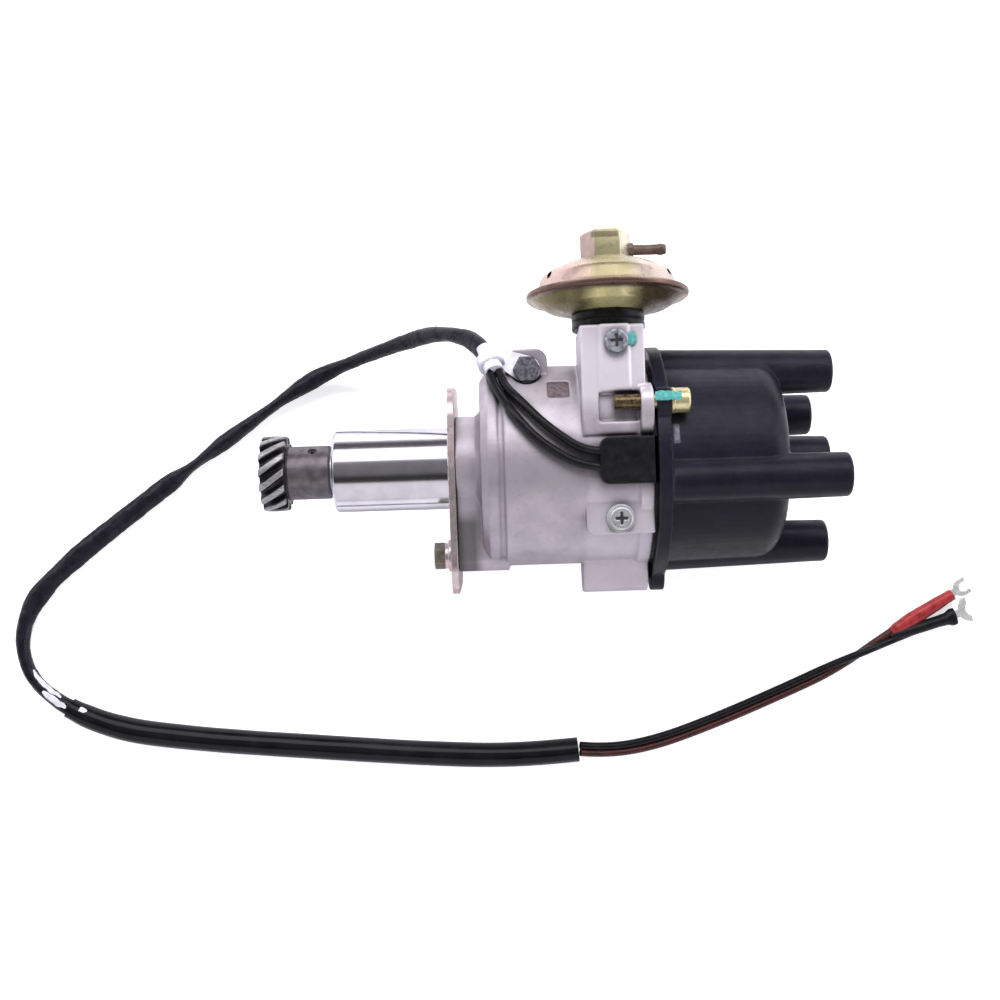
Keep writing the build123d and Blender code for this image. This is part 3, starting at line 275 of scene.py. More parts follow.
def gear_steel():
    """Dark oiled steel: the hub a soft grey, the teeth rubbed bright where they run."""
    made, tree, shader = material("gear_steel", Metallic=0.75)
    dark = ramp(tree, grain(tree, 2.5, 4), [(0.3, (0.022, 0.020, 0.023)), (0.7, (0.060, 0.055, 0.060))])
    hub = ramp(tree, grain(tree, 3.5, 4), [(0.3, (0.11, 0.095, 0.108)), (0.7, (0.21, 0.185, 0.205))])
    rubbed = ramp(tree, grain(tree, 0.5, 3, (0.3, 1, 1)), [(0.3, (0.26, 0.255, 0.26)), (0.7, (0.50, 0.49, 0.50))])
    toothed = between(tree, along_of(tree), 1, 0, -54.9, -54.5)
    tip = between(tree, radius_of(tree), 0, 1, 12.15, 12.75)
    link(tree, mix(tree, toothed, hub, mix(tree, tip, dark, rubbed)), shader, "Base Color")
    link(tree, between(tree, grain(tree, 1.2, 3), 0.30, 0.48), shader, "Roughness")
    rings = bump(tree, grain(tree, 0.3, 2, (1, 0.03, 0.03)), 0.004)
    link(tree, bump(tree, grain(tree, 0.6), 0.02, rings), shader, "Normal")
    return made


def zinc_plate():
    """Zinc with a pink and green passivation that changes with the place."""
    made, tree, shader = material("zinc_plate", Metallic=0.9)
    hues = ramp(tree, grain(tree, 8, 3), [(0.30, (0.60, 0.42, 0.44)), (0.45, (0.80, 0.63, 0.65)),
                                          (0.55, (0.74, 0.68, 0.66)), (0.70, (0.82, 0.59, 0.64))])
    dirt = between(tree, grain(tree, 0.8, 5), 0.0, 0.4, 0.55, 0.75)
    link(tree, mix(tree, dirt, hues, (0.42, 0.30, 0.31)), shader, "Base Color")
    link(tree, between(tree, grain(tree, 1.6, 4), 0.24, 0.42), shader, "Roughness")
    link(tree, bump(tree, grain(tree, 0.5, 3), 0.012), shader, "Normal")
    return made


def yellow_chromate():
    """Yellow passivated steel, coloured by place along the shaft, partly the passivation's tint and partly painted
    reflection: cream and pink above, a brown band at the rim as painted shadow under its lip, olive and straw below.
    """
    made, tree, shader = material("yellow_chromate", Metallic=0.80)
    wander = times(tree, grain(tree, 8, 3), 5.0)
    across = add(tree, "Math", {0: along_of(tree), 1: wander}, operation="ADD").outputs["Value"]
    # The bands along the shaft in both ramps are partly the passivation's tint and partly painted reflection.
    pale = ramp(tree, between(tree, across, 0, 1, 27, 86), [
        (0.05, (0.60, 0.44, 0.40)), (0.30, (0.72, 0.53, 0.47)), (0.42, (0.38, 0.33, 0.19)), (0.58, (0.42, 0.36, 0.21)),
        (0.68, (0.76, 0.63, 0.54)), (0.95, (0.68, 0.55, 0.50))])
    low = ramp(tree, between(tree, across, 0, 1, 27, 86), [
        (0.02, (0.72, 0.52, 0.46)), (0.14, (0.28, 0.24, 0.11)), (0.34, (0.20, 0.18, 0.075)), (0.44, (0.86, 0.78, 0.38)),
        (0.58, (0.84, 0.76, 0.40)), (0.68, (0.15, 0.105, 0.055)), (0.88, (0.11, 0.075, 0.045)), (0.97, (0.74, 0.56, 0.48))])
    # The boss's faces get colours by place along the shaft, with a dark strip across its top: partly the passivation's
    # tint and partly painted reflection.
    boss_tint_and_reflection = ramp(tree, between(tree, along_of(tree), 0, 1, 45.5, 63), [
        (0.02, (0.42, 0.30, 0.28)), (0.22, (0.48, 0.36, 0.32)), (0.34, (0.52, 0.48, 0.27)), (0.68, (0.60, 0.55, 0.33)),
        (0.80, (0.84, 0.77, 0.62)), (0.98, (0.80, 0.68, 0.58))])
    height = along_of(tree, "Y")
    strip = times(tree, zone(tree, "X", (48.8, 49.4), (57.6, 58.2)), zone(tree, "Y", (72.6, 73.0), (74.6, 75.0)))
    boss_tint_and_reflection = mix(tree, times(tree, strip, 0.8), boss_tint_and_reflection, (0.13, 0.115, 0.065))
    hues = mix(tree, between(tree, height, 0, 1, 65.9, 66.5), pale, boss_tint_and_reflection)
    # Painted shadow: a brown band at the rim, under its lip.
    hues = mix(tree, between(tree, height, 1, 0, 55.8, 57.0), hues, (0.17, 0.105, 0.082))
    hues = mix(tree, between(tree, height, 1, 0, 53.4, 54.2), hues, low)
    spots = between(tree, grain(tree, 1.1, 5), 0.0, 0.45, 0.56, 0.76)
    link(tree, mix(tree, spots, hues, (0.28, 0.20, 0.11)), shader, "Base Color")
    link(tree, between(tree, height, 0.55, 0.80, 53.4, 54.2), shader, "Metallic")
    link(tree, between(tree, grain(tree, 3, 4), 0.22, 0.40), shader, "Roughness")
    link(tree, bump(tree, grain(tree, 1.8, 3), 0.008), shader, "Normal")
    return made


def cap_plastic():
    """Black thermoset with a blue cast, fine mould texture and rubbed edges."""
    made, tree, shader = material("cap_plastic", Specular_IOR_Level=0.22)
    skin = ramp(tree, grain(tree, 8, 4), [(0.3, (0.0055, 0.0050, 0.0098)), (0.7, (0.0100, 0.0092, 0.0165))])
    dust = between(tree, grain(tree, 0.7, 5), 0.0, 0.25, 0.60, 0.80)
    skin = mix(tree, dust, skin, (0.055, 0.050, 0.066))
    skin = mix(tree, times(tree, edges_of(tree, 0.8), 0.8), skin, (0.085, 0.080, 0.105))
    link(tree, skin, shader, "Base Color")
    link(tree, between(tree, grain(tree, 3, 4), 0.30, 0.44), shader, "Roughness")
    fine = bump(tree, grain(tree, 0.30, 3), 0.012)
    link(tree, bump(tree, grain(tree, 6, 2), 0.05, fine), shader, "Normal")
    return made


def screw_plate():
    """Yellow passivated screws, dark brown where they cross the block."""
    made, tree, shader = material("screw_plate", Metallic=0.8)
    bright = ramp(tree, grain(tree, 3, 3), [(0.3, (0.72, 0.62, 0.30)), (0.7, (0.86, 0.78, 0.50))])
    brown = ramp(tree, grain(tree, 1.0, 3), [(0.3, (0.045, 0.030, 0.018)), (0.7, (0.24, 0.18, 0.095))])
    hidden = between(tree, along_of(tree), 1, 0, 63.5, 65.5)
    link(tree, mix(tree, hidden, bright, brown), shader, "Base Color")
    link(tree, between(tree, grain(tree, 2, 3), 0.22, 0.38), shader, "Roughness")
    link(tree, bump(tree, grain(tree, 0.6, 3), 0.01), shader, "Normal")
    return made


CAST = cast_aluminium()
GEAR = gear_steel()
ZINC = zinc_plate()
CHROMATE = yellow_chromate()
CAP = cap_plastic()
YELLOW_SCREW = screw_plate()
BRIGHT = finish("bright_steel", [(0.56, 0.56, 0.59), (0.76, 0.76, 0.79)], 3, (0.26, 0.40), [(0.6, 0.006)], Metallic=0.8)
SATIN = finish("satin_zinc", [(0.60, 0.58, 0.66), (0.86, 0.84, 0.92)], 3, (0.42, 0.56), [(0.9, 0.010)], Metallic=0.25)
DARK = finish("dark_bolt", [(0.075, 0.075, 0.095), (0.30, 0.29, 0.34)], 0.9, (0.32, 0.50), [(0.6, 0.010)], Metallic=0.7)
OLIVE = finish("olive_bolt", [(0.12, 0.11, 0.085), (0.24, 0.21, 0.17)], 1.2, (0.30, 0.46), [(0.6, 0.010)], Metallic=0.7)
COPPER = finish("brown_nipple", [(0.085, 0.060, 0.048), (0.17, 0.125, 0.10)], 2, (0.38, 0.55), [(0.6, 0.008)], Metallic=0.5)
RUBBER = finish("black_rubber", [(0.004, 0.004, 0.005), (0.011, 0.010, 0.012)], 3, (0.24, 0.42), [(0.4, 0.015), (2.5, 0.08)],
                Specular_IOR_Level=0.22)
TAPE = finish("harness_tape", [(0.004, 0.004, 0.007), (0.013, 0.012, 0.018)], 4, (0.20, 0.40), [(0.8, 0.03), (3.5, 0.10)],
              Specular_IOR_Level=0.26)
GLOSS = finish("glossy_tube", [(0.003, 0.003, 0.0035), (0.007, 0.007, 0.008)], 8, (0.10, 0.20), [(5, 0.05)], Specular_IOR_Level=0.26)
LEAD_BLACK = finish("lead_black_pvc", [(0.004, 0.004, 0.005), (0.010, 0.009, 0.011)], 4, (0.20, 0.32), [(1.6, 0.02)],
                    Specular_IOR_Level=0.24)
LEAD_RED = finish("lead_red_pvc", [(0.026, 0.008, 0.008), (0.055, 0.012, 0.011)], 4, (0.22, 0.36), [(1.6, 0.02)])
CLEAR = finish("clear_sleeve", [(0.56, 0.55, 0.68), (0.82, 0.81, 0.94)], 2.2, (0.20, 0.36), [(0.9, 0.04), (2.5, 0.10)])
WHITE_TAPE = finish("white_tape", [(0.46, 0.44, 0.52), (0.70, 0.68, 0.76)], 2.0, (0.25, 0.45), [(0.8, 0.03)])
# Painted shade: the dark fill laid in the floors of screw recesses.
RECESS_SHADE = finish("painted_shade", [(0.010, 0.009, 0.010), (0.035, 0.030, 0.032)], 0.6, (0.5, 0.7), [(0.3, 0.02)])
FELT = finish("vent_felt", [(0.060, 0.044, 0.050), (0.150, 0.115, 0.128)], 1.0, (0.7, 0.9), [(0.4, 0.06)])
RED = finish("red_sleeve_pvc", [(0.17, 0.012, 0.014), (0.31, 0.030, 0.030)], 2.5, (0.26, 0.40), [(1.2, 0.04)])
TINNED = finish("tinned_copper", [(0.44, 0.43, 0.43), (0.66, 0.65, 0.65)], 1.5, (0.30, 0.46), [(0.5, 0.006)], Metallic=0.45)
WORN = finish("worn_zinc", [(0.10, 0.11, 0.14), (0.52, 0.53, 0.60)], 1.0, (0.30, 0.46), [(0.5, 0.010)], Metallic=0.7)
# Painted highlight: the cap's rib is drawn in a plastic lighter than the cap.
RIB_HIGHLIGHT = finish("rib_highlight_plastic", [(0.065, 0.060, 0.082), (0.135, 0.125, 0.160)], 1.4, (0.35, 0.5), [(0.3, 0.012)])
BRONZE = finish("bronze", [(0.42, 0.26, 0.11), (0.55, 0.36, 0.17)], 2, (0.35, 0.50), [(0.3, 0.02)], Metallic=1.0)
BRASS = finish("brass", [(0.66, 0.48, 0.20), (0.78, 0.60, 0.28)], 3, (0.20, 0.34), [(0.6, 0.01)], Metallic=1.0)
BROWN = finish("rotor_plastic", [(0.035, 0.018, 0.014), (0.055, 0.028, 0.020)], 4, (0.35, 0.45), [(0.5, 0.01)])
FERRITE = finish("ferrite", [(0.03, 0.03, 0.032), (0.05, 0.05, 0.052)], 2, (0.5, 0.65), [(0.4, 0.03)])
WINDING = finish("winding", [(0.20, 0.07, 0.03), (0.30, 0.12, 0.05)], 2, (0.35, 0.5), [(0.3, 0.03)])
PAINT = finish("turquoise_paint", [(0.030, 0.17, 0.175), (0.090, 0.34, 0.325)], 0.9, (0.35, 0.55), [(0.5, 0.05)])

SURFACES = {
    "cast_aluminium": CAST, "zinc_steel": ZINC, "bright_steel": BRIGHT, "gear_steel": GEAR, "bronze": BRONZE,
    "brass": BRASS, "chromate": CHROMATE, "nipple_metal": COPPER, "cap_plastic": CAP, "rotor_plastic": BROWN,
    "module_plastic": RUBBER, "black_rubber": RUBBER, "gasket_rubber": RUBBER, "lead_black_pvc": LEAD_BLACK,
    "lead_red_pvc": LEAD_RED, "tape_black": TAPE, "tube_black": GLOSS, "clear_sleeve": CLEAR, "red_sleeve": RED,
    "tinned_copper": TINNED, "magnet": FERRITE, "coil_winding": WINDING, "carbon": FERRITE,
}
slot_of = {part["node"]: part["material_slot"] for part in frame["record"]["subparts"]}
for node, piece in frame["nodes"].items():
    for slot in piece.material_slots:
        slot.material = SURFACES[slot_of[node]]


# ---------------------------------------------------------------- cords
LEAD_ROUTES = (
    [(52.5, 2.6, 35.9), (43.0, 4.0, 36.2), (32.0, 12.0, 35.4), (24.2, 20.6, 30.6), (19.6, 25.7, 24.7),
     (17.85, 30.97, 20.47)],
    [(52.5, -1.4, 35.9), (41.4, 0.9, 36.3), (30.6, 8.4, 36.0), (22.8, 16.8, 33.4), (16.9, 25.1, 25.0),
     (14.95, 30.2, 20.75)],
)
SHEATH_ROUTE = [
    (16.4, 30.6, 20.6), (12.6, 42.0, 11.5), (-2.0, 47.6, -3.0), (-16.0, 46.0, -17.0),
    (-33.0, 41.8, -28.5), (-52.0, 35.6, -35.0), (-82.0, 15.4, -36.2), (-120.0, -11.4, -36.2),
    (-154.0, -37.4, -36.2), (-163.0, -54.0, -36.2), (-161.0, -69.5, -35.6), (-151.5, -79.7, -34.7),
    (-145.0, -83.5, -34.7),
]
TUBE_ROUTE = [
    (-145.0, -83.5, -34.7), (-132.0, -91.1, -34.7), (-98.0, -96.6, -34.7), (-52.0, -101.0, -34.7),
    (-8.0, -105.0, -34.7), (22.0, -106.4, -34.7), (43.0, -104.8, -34.7),
]
RED_ROUTE = [
    (43.8, -106.2, -35.8), (54.0, -107.7, -37.8), (72.0, -105.3, -38.0), (94.0, -97.9, -38.0),
    (118.0, -88.4, -38.0), (140.0, -79.1, -38.0), (160.0, -65.5, -37.6), (173.0, -58.0, -37.3),
]
BLACK_ROUTE = [
    (43.8, -103.4, -35.4), (54.0, -105.0, -37.3), (72.0, -102.4, -37.5), (94.0, -95.0, -37.5),
    (118.0, -85.5, -37.5), (139.0, -76.4, -36.8), (151.0, -71.6, -34.3), (159.5, -69.0, -37.6), (173.5, -63.8, -37.3),
]


def spline(name, points, radius=0.0):
    """A smooth cord: a NURBS curve with the route's points as its control points."""
    curve = bpy.data.curves.new(name, "CURVE")
    curve.dimensions = "3D"
    curve.resolution_u = 24
    curve.bevel_depth = radius * MM
    curve.bevel_resolution = 6
    curve.use_fill_caps = True
    line = curve.splines.new("NURBS")
    line.points.add(len(points) - 1)
    for control, point in zip(line.points, points):
        control.co = (*(MM * c for c in point), 1)
    line.order_u = 3
    line.use_endpoint_u = True
    return add_object(name, curve)


def line_of(points):
    """The points that a route's spline runs through."""
    probe = spline("probe", points)
    mesh = bpy.data.meshes.new_from_object(probe)
    line = [v.co.copy() for v in mesh.vertices]
    bpy.data.objects.remove(probe)
    return line


def length_of(line):
    """The length of a line of points."""
    return sum((b - a).length for a, b in zip(line, line[1:]))


def plain_cord(name, node, route, radius, surface):
    """A cord with a round section."""
    piece = spline(name, route, radius)
    piece.data.materials.append(surface)
    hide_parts(node)
    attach(piece, "case")
    length_of(line_of(route))
    return piece


# ---------------------------------------------------------------- helpers for pieces that replace a node
body_of = {node: body for body, nodes in frame["record"]["behaviour"]["bodies"].items() for node in nodes}


def mesh_object(name, points, faces, sharp=40.0):
    """A smooth-shaded mesh from points in millimetres, creased where faces meet at a steep angle."""
    mesh = bpy.data.meshes.new(name)
    mesh.from_pydata([tuple(MM * c for c in point) for point in points], [], faces)
    mesh.validate()
    mesh.shade_smooth()
    mesh.set_sharp_from_angle(angle=math.radians(sharp))
    return add_object(name, mesh)


def dress(piece, surface, node, *others):
    """A piece takes a node's place, with its body and slot."""
    piece.data.materials.clear()
    piece.data.materials.append(surface)
    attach(piece, body_of[node])
    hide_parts(node, *others)
    return piece


def trim(piece, surface, body):
    """A small piece of scene detail on a body."""
    piece.data.materials.append(surface)
    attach(piece, body)
    return piece


def applied(piece):
    """The piece with its modifiers made part of its mesh."""
    graph = bpy.context.evaluated_depsgraph_get()
    mesh = bpy.data.meshes.new_from_object(piece.evaluated_get(graph))
    piece.modifiers.clear()
    piece.data = mesh
    mesh.shade_smooth()
    return piece


def rounded(node, surface, voxel, passes=3, keep=0.5):
    """A CAD node's shape with all its edges softened by about a voxel."""
    piece = add_object(node + "_shape", frame["nodes"][node].data.copy())
    remesh = piece.modifiers.new("remesh", "REMESH")
    remesh.mode = "VOXEL"
    remesh.voxel_size = voxel * MM
    smooth = piece.modifiers.new("smooth", "SMOOTH")
    smooth.factor = 0.5
    smooth.iterations = passes
    thin = piece.modifiers.new("thin", "DECIMATE")
    thin.ratio = keep
    return dress(applied(piece), surface, node)


def softened(corners, radius, steps=4):
    """An outline with arcs in place of its inner corners."""
    outline = [corners[0]]
    for before, corner, after in zip(corners, corners[1:], corners[2:]):
        here = Vector(corner)
        back, ahead = (Vector(before) - here), (Vector(after) - here)
        reach = min(radius, back.length * 0.45, ahead.length * 0.45)
        start, end = here + back.normalized() * reach, here + ahead.normalized() * reach
        for step in range(steps + 1):
            t = step / steps
            point = start * (1 - t) ** 2 + here * 2 * t * (1 - t) + end * t**2
            outline.append(tuple(point))
    outline.append(corners[-1])
    return outline


def lathe(name, outline, frame_of=Matrix.Identity(4), sides=128, closed=True):
    """A solid of revolution from (radius, height) points about a frame's z axis."""
    points, faces = [], []
    for radius, height in outline:
        for n in range(sides):
            turn = 2 * math.pi * n / sides
            points.append(frame_of @ Vector((radius * math.cos(turn), radius * math.sin(turn), height)))
    rows = len(outline)
    for row in range(rows if closed else rows - 1):
        low, high = row * sides, ((row + 1) % rows) * sides
        for n in range(sides):
            after = (n + 1) % sides
            faces.append((low + n, low + after, high + after, high + n))
    return mesh_object(name, points, faces)


def frame_at(origin, axis, across=(1, 0, 0)):
    """A frame whose z runs along an axis and whose x lies near another direction."""
    z = Vector(axis).normalized()
    y = z.cross(Vector(across)).normalized()
    x = y.cross(z)
    turned = Matrix((x, y, z)).transposed().to_4x4()
    return Matrix.Translation(Vector(origin)) @ turned


SHAFT = frame_at((0, 0, 0), (1, 0, 0), (0, 1, 0))
TILT = math.radians(3)
CAN = frame_at((54.2, -0.82, 23.486), (0, math.cos(TILT), -math.sin(TILT)))


# ---------------------------------------------------------------- housing and drive end
def housing():
    """The casting with soft edges, and its turned shank."""
    cast = rounded("housing", CAST, 0.42, 4, 0.45)
    cutter = bmesh.new()
    cutter.from_mesh(cast.data)
    bmesh.ops.bisect_plane(cutter, geom=cutter.verts[:] + cutter.edges[:] + cutter.faces[:],
                           plane_co=(-0.3 * MM, 0, 0), plane_no=(1, 0, 0), clear_inner=True)
    cutter.to_mesh(cast.data)
    cutter.free()
    corners = [(8.0, 1.0), (8.0, -38.7), (8.6, -39.3), (13.2, -39.3), (14.0, -38.5), (14.0, 0.05), (14.9, 0.05), (14.9, 1.0)]
    shank = lathe("shank", softened(corners, 0.25), SHAFT, 192)
    trim(shank, CAST, "case")


def drive_end():
    """The gear with worn teeth, the plate and its bolt."""
    rounded("drive_gear", GEAR, 0.17, 2, 0.5)
    rounded("fixing_plate", ZINC, 0.22, 2, 0.4)
    rounded("clamp_bolt", OLIVE, 0.16, 2, 0.5)
    rounded("clamp_washers", ZINC, 0.16, 1, 0.5)


housing()
drive_end()


# ---------------------------------------------------------------- vacuum unit
CAN_RIM = 54.18
CAN_FLANGE = 56.18
CAN_TOP = 66.98
BOSS_TOP = 76.48


def dome():
    """The pressed upper shell with its rolled flange and two vent holes."""
    outside = [(0.0, CAN_TOP), (10.2, CAN_TOP), (15.5, CAN_TOP - 1.9), (21.3, CAN_TOP - 4.9), (22.3, CAN_TOP - 7.6),
               (23.2, CAN_FLANGE + 0.1), (25.8, CAN_FLANGE), (26.35, CAN_FLANGE - 0.3), (26.35, CAN_FLANGE - 0.6)]
    inside = [(22.3, CAN_FLANGE - 0.6), (21.3, CAN_TOP - 7.6), (20.3, CAN_TOP - 5.4), (15.0, CAN_TOP - 2.9), (0.0, CAN_TOP - 1.0)]
    shell = lathe("can_dome", softened(outside, 2.2, 5) + softened(inside, 1.0, 2), CAN, 144, closed=False)
    for turn in (-28, -152):
        across = Vector((math.cos(math.radians(turn)), math.sin(math.radians(turn)), 0))
        spot = CAN @ (across * 20 + Vector((0, 0, CAN_TOP - 6.2)))
        drill = lathe("drill", [(0.001, 0), (1.2, 0), (1.2, 6), (0.001, 6)], frame_at(spot, CAN.to_3x3() @ across), 24, False)
        hole = shell.modifiers.new("hole", "BOOLEAN")
        hole.object = drill
        hole.operation = "DIFFERENCE"
        applied(shell)
        bpy.data.objects.remove(drill)
    shell.data.set_sharp_from_angle(angle=math.radians(40))
    return dress(shell, CHROMATE, "vacuum_shell_upper")


def boss():
    """The hexagonal boss on the dome, with its chamfered top."""
    points, faces = [], []
    rows = [(8.4, CAN_TOP - 1.6), (8.4, BOSS_TOP - 1.0), (7.3, BOSS_TOP), (4.4, BOSS_TOP), (4.2, BOSS_TOP - 0.5)]
    for radius, height in rows:
        for n in range(6):
            turn = math.radians(60 * n)
            points.append(CAN @ Vector((radius * math.cos(turn), radius * math.sin(turn), height)))
    for row in range(len(rows) - 1):
        for n in range(6):
            low, high = row * 6, row * 6 + 6
            faces.append((low + n, low + (n + 1) % 6, high + (n + 1) % 6, high + n))
    faces.append(tuple(range(len(points) - 6, len(points))))
    faces.append(tuple(reversed(range(6))))
    piece = mesh_object("can_boss", points, faces)
    edge = piece.modifiers.new("edge", "BEVEL")
    edge.width = 0.35 * MM
    edge.segments = 3
    edge.limit_method = "ANGLE"
    applied(piece)
    piece.data.set_sharp_from_angle(angle=math.radians(32))
    return trim(piece, CHROMATE, "case")


def dish():
    """The pressed lower shell, from its neck to the rim rolled over the dome's flange."""
    outside = [(7.0, 49.4), (11.3, 49.4), (13.5, 49.7), (20.0, 51.3), (24.4, CAN_RIM - 0.2), (25.9, CAN_RIM - 0.05),
               (26.64, CAN_RIM + 0.45), (26.64, CAN_FLANGE - 0.15), (26.05, CAN_FLANGE + 0.25), (25.5, CAN_FLANGE + 0.1)]
    inside = [(25.5, CAN_RIM + 0.9), (24.0, CAN_RIM + 0.8), (19.8, 52.4), (11.5, 50.5), (7.0, 50.5)]
    shell = lathe("can_dish", softened(outside, 0.7, 4) + inside, CAN, 144)
    return dress(shell, CHROMATE, "vacuum_shell_lower")


def seal_ring():
    """The black rubber ring between block and can, with a soft lip."""
    corners = [(7.1, 49.3), (7.1, 44.0), (12.0, 44.0), (12.0, 46.2), (11.6, 46.6), (12.0, 47.0), (12.0, 49.3), (7.1, 49.3)]
    return dress(lathe("seal_ring", softened(corners, 0.5), CAN, 96), RUBBER, "vacuum_seal_ring")


def nipple():
    """The hose nipple with its collar and barb."""
    seat = CAN @ Vector((0, 0, CAN_TOP + 9.5 * 0.36))
    corners = [(0.9, 5.0), (2.4, 5.0), (2.4, 9.0), (1.7, 9.15), (1.7, 17.0), (2.0, 18.0), (1.55, 19.8), (0.9, 19.8),
               (0.9, 5.0)]
    pipe = lathe("nipple", softened(corners, 0.2), frame_at(seat, (1, 0, 0), (0, 1, 0)), 48)
    return dress(pipe, COPPER, "vacuum_nipple")


dome()
boss()
dish()
seal_ring()
nipple()


# ---------------------------------------------------------------- cap, grommet and fasteners
rounded("distributor_cap", CAP, 0.40, 4, 0.45)
rounded("lead_grommet", RUBBER, 0.26, 3, 0.5)
rounded("cap_screws", YELLOW_SCREW, 0.17, 2, 0.5)
rounded("side_screws", BRIGHT, 0.17, 2, 0.5)
rounded("vacuum_screw", WORN, 0.15, 2, 0.5)
rounded("clip_bolt", DARK, 0.15, 2, 0.5)
rounded("harness_clip", SATIN, 0.17, 2, 0.5)


def cap_rib():
    """The short rib on the cap's shoulder, beside its screw, lighter than the cap as a painted highlight."""
    mesh = frame["nodes"]["distributor_cap"].data
    surface = BVHTree.FromPolygons([v.co for v in mesh.vertices], [tuple(face.vertices) for face in mesh.polygons])
    points, faces = [], []
    rows, columns = 10, 18
    for row in range(rows + 1):
        for column in range(columns + 1):
            x, y = 72.9 + 2.1 * row / rows, 4.9 + 6.2 * column / columns
            spot = surface.ray_cast(Vector((x, y, 60)) * MM, Vector((0, 0, -1)))[0]
            inner = min(row, rows - row) / 3, min(column, columns - column) / 3
            lift = -0.15 + 0.60 * min(1.0, inner[0]) ** 0.5 * min(1.0, inner[1]) ** 0.5
            points.append((x, y, spot.z / MM + lift))
    for row in range(rows):
        for column in range(columns):
            low = row * (columns + 1) + column
            faces.append((low, low + columns + 1, low + columns + 2, low + 1))
    return trim(mesh_object("cap_rib", points, faces, 60), RIB_HIGHLIGHT, "case")


cap_rib()


# ---------------------------------------------------------------- harness
def stations(line):
    """Each point of a line with its distance along it, a level direction to its right, and the one over it."""
    made, along = [], 0.0
    for n, point in enumerate(line):
        ahead = (line[min(n + 1, len(line) - 1)] - line[max(n - 1, 0)]).normalized()
        side = ahead.cross(Vector((0, 0, 1))).normalized()
        if n:
            along += (point - line[n - 1]).length
        made.append((along / MM, point / MM, side, side.cross(ahead)))
    return made


def spread(line, step):
    """Points every step millimetres along a line."""
    marks = stations(line)
    total = marks[-1][0]
    count = max(2, round(total / step))
    found, n = [], 0
    for k in range(count + 1):
        goal = total * k / count
        while n < len(marks) - 2 and marks[n + 1][0] < goal:
            n += 1
        (start, first, *_), (end, second, *_) = marks[n], marks[n + 1]
        found.append(first.lerp(second, (goal - start) / max(end - start, 1e-9)) * MM)
    return found


def wrapped(name, line, reach_at, sides=28, lining=None):
    """A tube about a line: reach_at gives its radius at a distance along it and an angle round it, where 90 degrees
    is up. With a lining radius it's a hollow tube; without, its ends are closed."""
    marks = stations(line)
    rows = [(mark, None) for mark in marks] + ([(mark, lining) for mark in reversed(marks)] if lining else [])
    points, faces = [], []
    for (along, centre, side, up), plain in rows:
        for n in range(sides):
            turn = 2 * math.pi * n / sides
            reach = plain or reach_at(along, turn)
            points.append(centre + (side * math.cos(turn) + up * math.sin(turn)) * reach)
    for row in range(len(rows) if lining else len(rows) - 1):
        low, high = row * sides, (row + 1) % len(rows) * sides
        for n in range(sides):
            after = (n + 1) % sides
            faces.append((low + n, low + after, high + after, high + n))
    if not lining:
        faces.append(tuple(reversed(range(sides))))
        faces.append(tuple(range(len(points) - sides, len(points))))
    return mesh_object(name, points, faces, 50)


def table(stops, value):
    """A smooth reading between (place, value) stops."""
    for (low, first), (high, second) in zip(stops, stops[1:]):
        if value <= high:
            share = max(0.0, (value - low) / (high - low))
            share = share * share * (3 - 2 * share)
            return first + (second - first) * share
    return stops[-1][1]


def terminal_sleeve(name, surface, node, start, end, widths):
    """A shrunk sleeve over a lead's end, flat where it lies on the floor: half widths by the distance along it."""
    line = spread([Vector(start) * MM, Vector(end) * MM], 0.5)

    def reach_at(along, turn):
        """An ellipse no higher than the sleeve's solid, with a slow waver."""
        wide = table(widths, along)
        high = min(wide, 2.15)
        form = wide * high / math.hypot(high * math.cos(turn), wide * math.sin(turn))
        return form + 0.05 * noise.noise(Vector((along * 0.4, math.cos(turn), math.sin(turn))))

    return dress(wrapped(name, line, reach_at, 32), surface, node)


red_sleeve = terminal_sleeve("red_sleeve", RED, "red_terminal_sleeve", (161.2, -65.2, -37.3), (184.3, -51.9, -37.2),
                             ((0, 1.75), (3, 2.3), (9, 2.75), (19, 2.5), (24, 2.2), (27, 2.1)))
black_sleeve = terminal_sleeve("black_sleeve", RUBBER, "black_terminal_sleeve", (160.8, -66.9, -37.3), (185.2, -60.0, -37.2),
                               ((0, 1.75), (3, 2.2), (18, 2.15), (21.5, 2.3), (24.2, 3.3), (25.4, 3.2)))
red_fork = rounded("red_fork_terminal", TINNED, 0.12, 2, 0.6)
black_fork = rounded("black_fork_terminal", TINNED, 0.12, 2, 0.6)
plain_cord("red_lead", "lead_red", RED_ROUTE, 1.4, LEAD_RED)
plain_cord("black_lead", "lead_black", BLACK_ROUTE, 1.4, LEAD_BLACK)


SHEATH_WIDTHS = ((0, 2.9), (16, 3.4), (32, 2.75), (45, 3.2), (72, 2.6), (80, 2.5), (96, 3.5), (113, 2.1), (136, 3.1),
                 (150, 1.9), (163, 3.7), (182, 3.8), (205, 4.0), (216, 3.6), (226, 4.1), (240, 3.0), (250, 2.5),
                 (264, 2.7), (277, 3.2))


def sheath_reach(along, turn):
    """The taped bundle's radius: flat where the two leads lie side by side, narrow where they cross."""
    wide = table(SHEATH_WIDTHS, along)
    high = min(2.95, 4.4 - 0.5 * wide)
    form = wide * high / math.hypot(high * math.cos(turn), wide * math.sin(turn))
    lap = (along / 9.0 + turn / (2 * math.pi)) % 1.0
    fold = noise.noise(Vector((along * 0.22, math.cos(turn) * 1.6, math.sin(turn) * 1.6)))
    crease = noise.noise(Vector((along * 0.9, math.cos(turn) * 3.0, math.sin(turn) * 3.0)))
    return form - 0.30 + 0.16 * min(1.0, lap * 7) * (1 - 0.6 * lap) + 0.16 * fold + 0.05 * crease


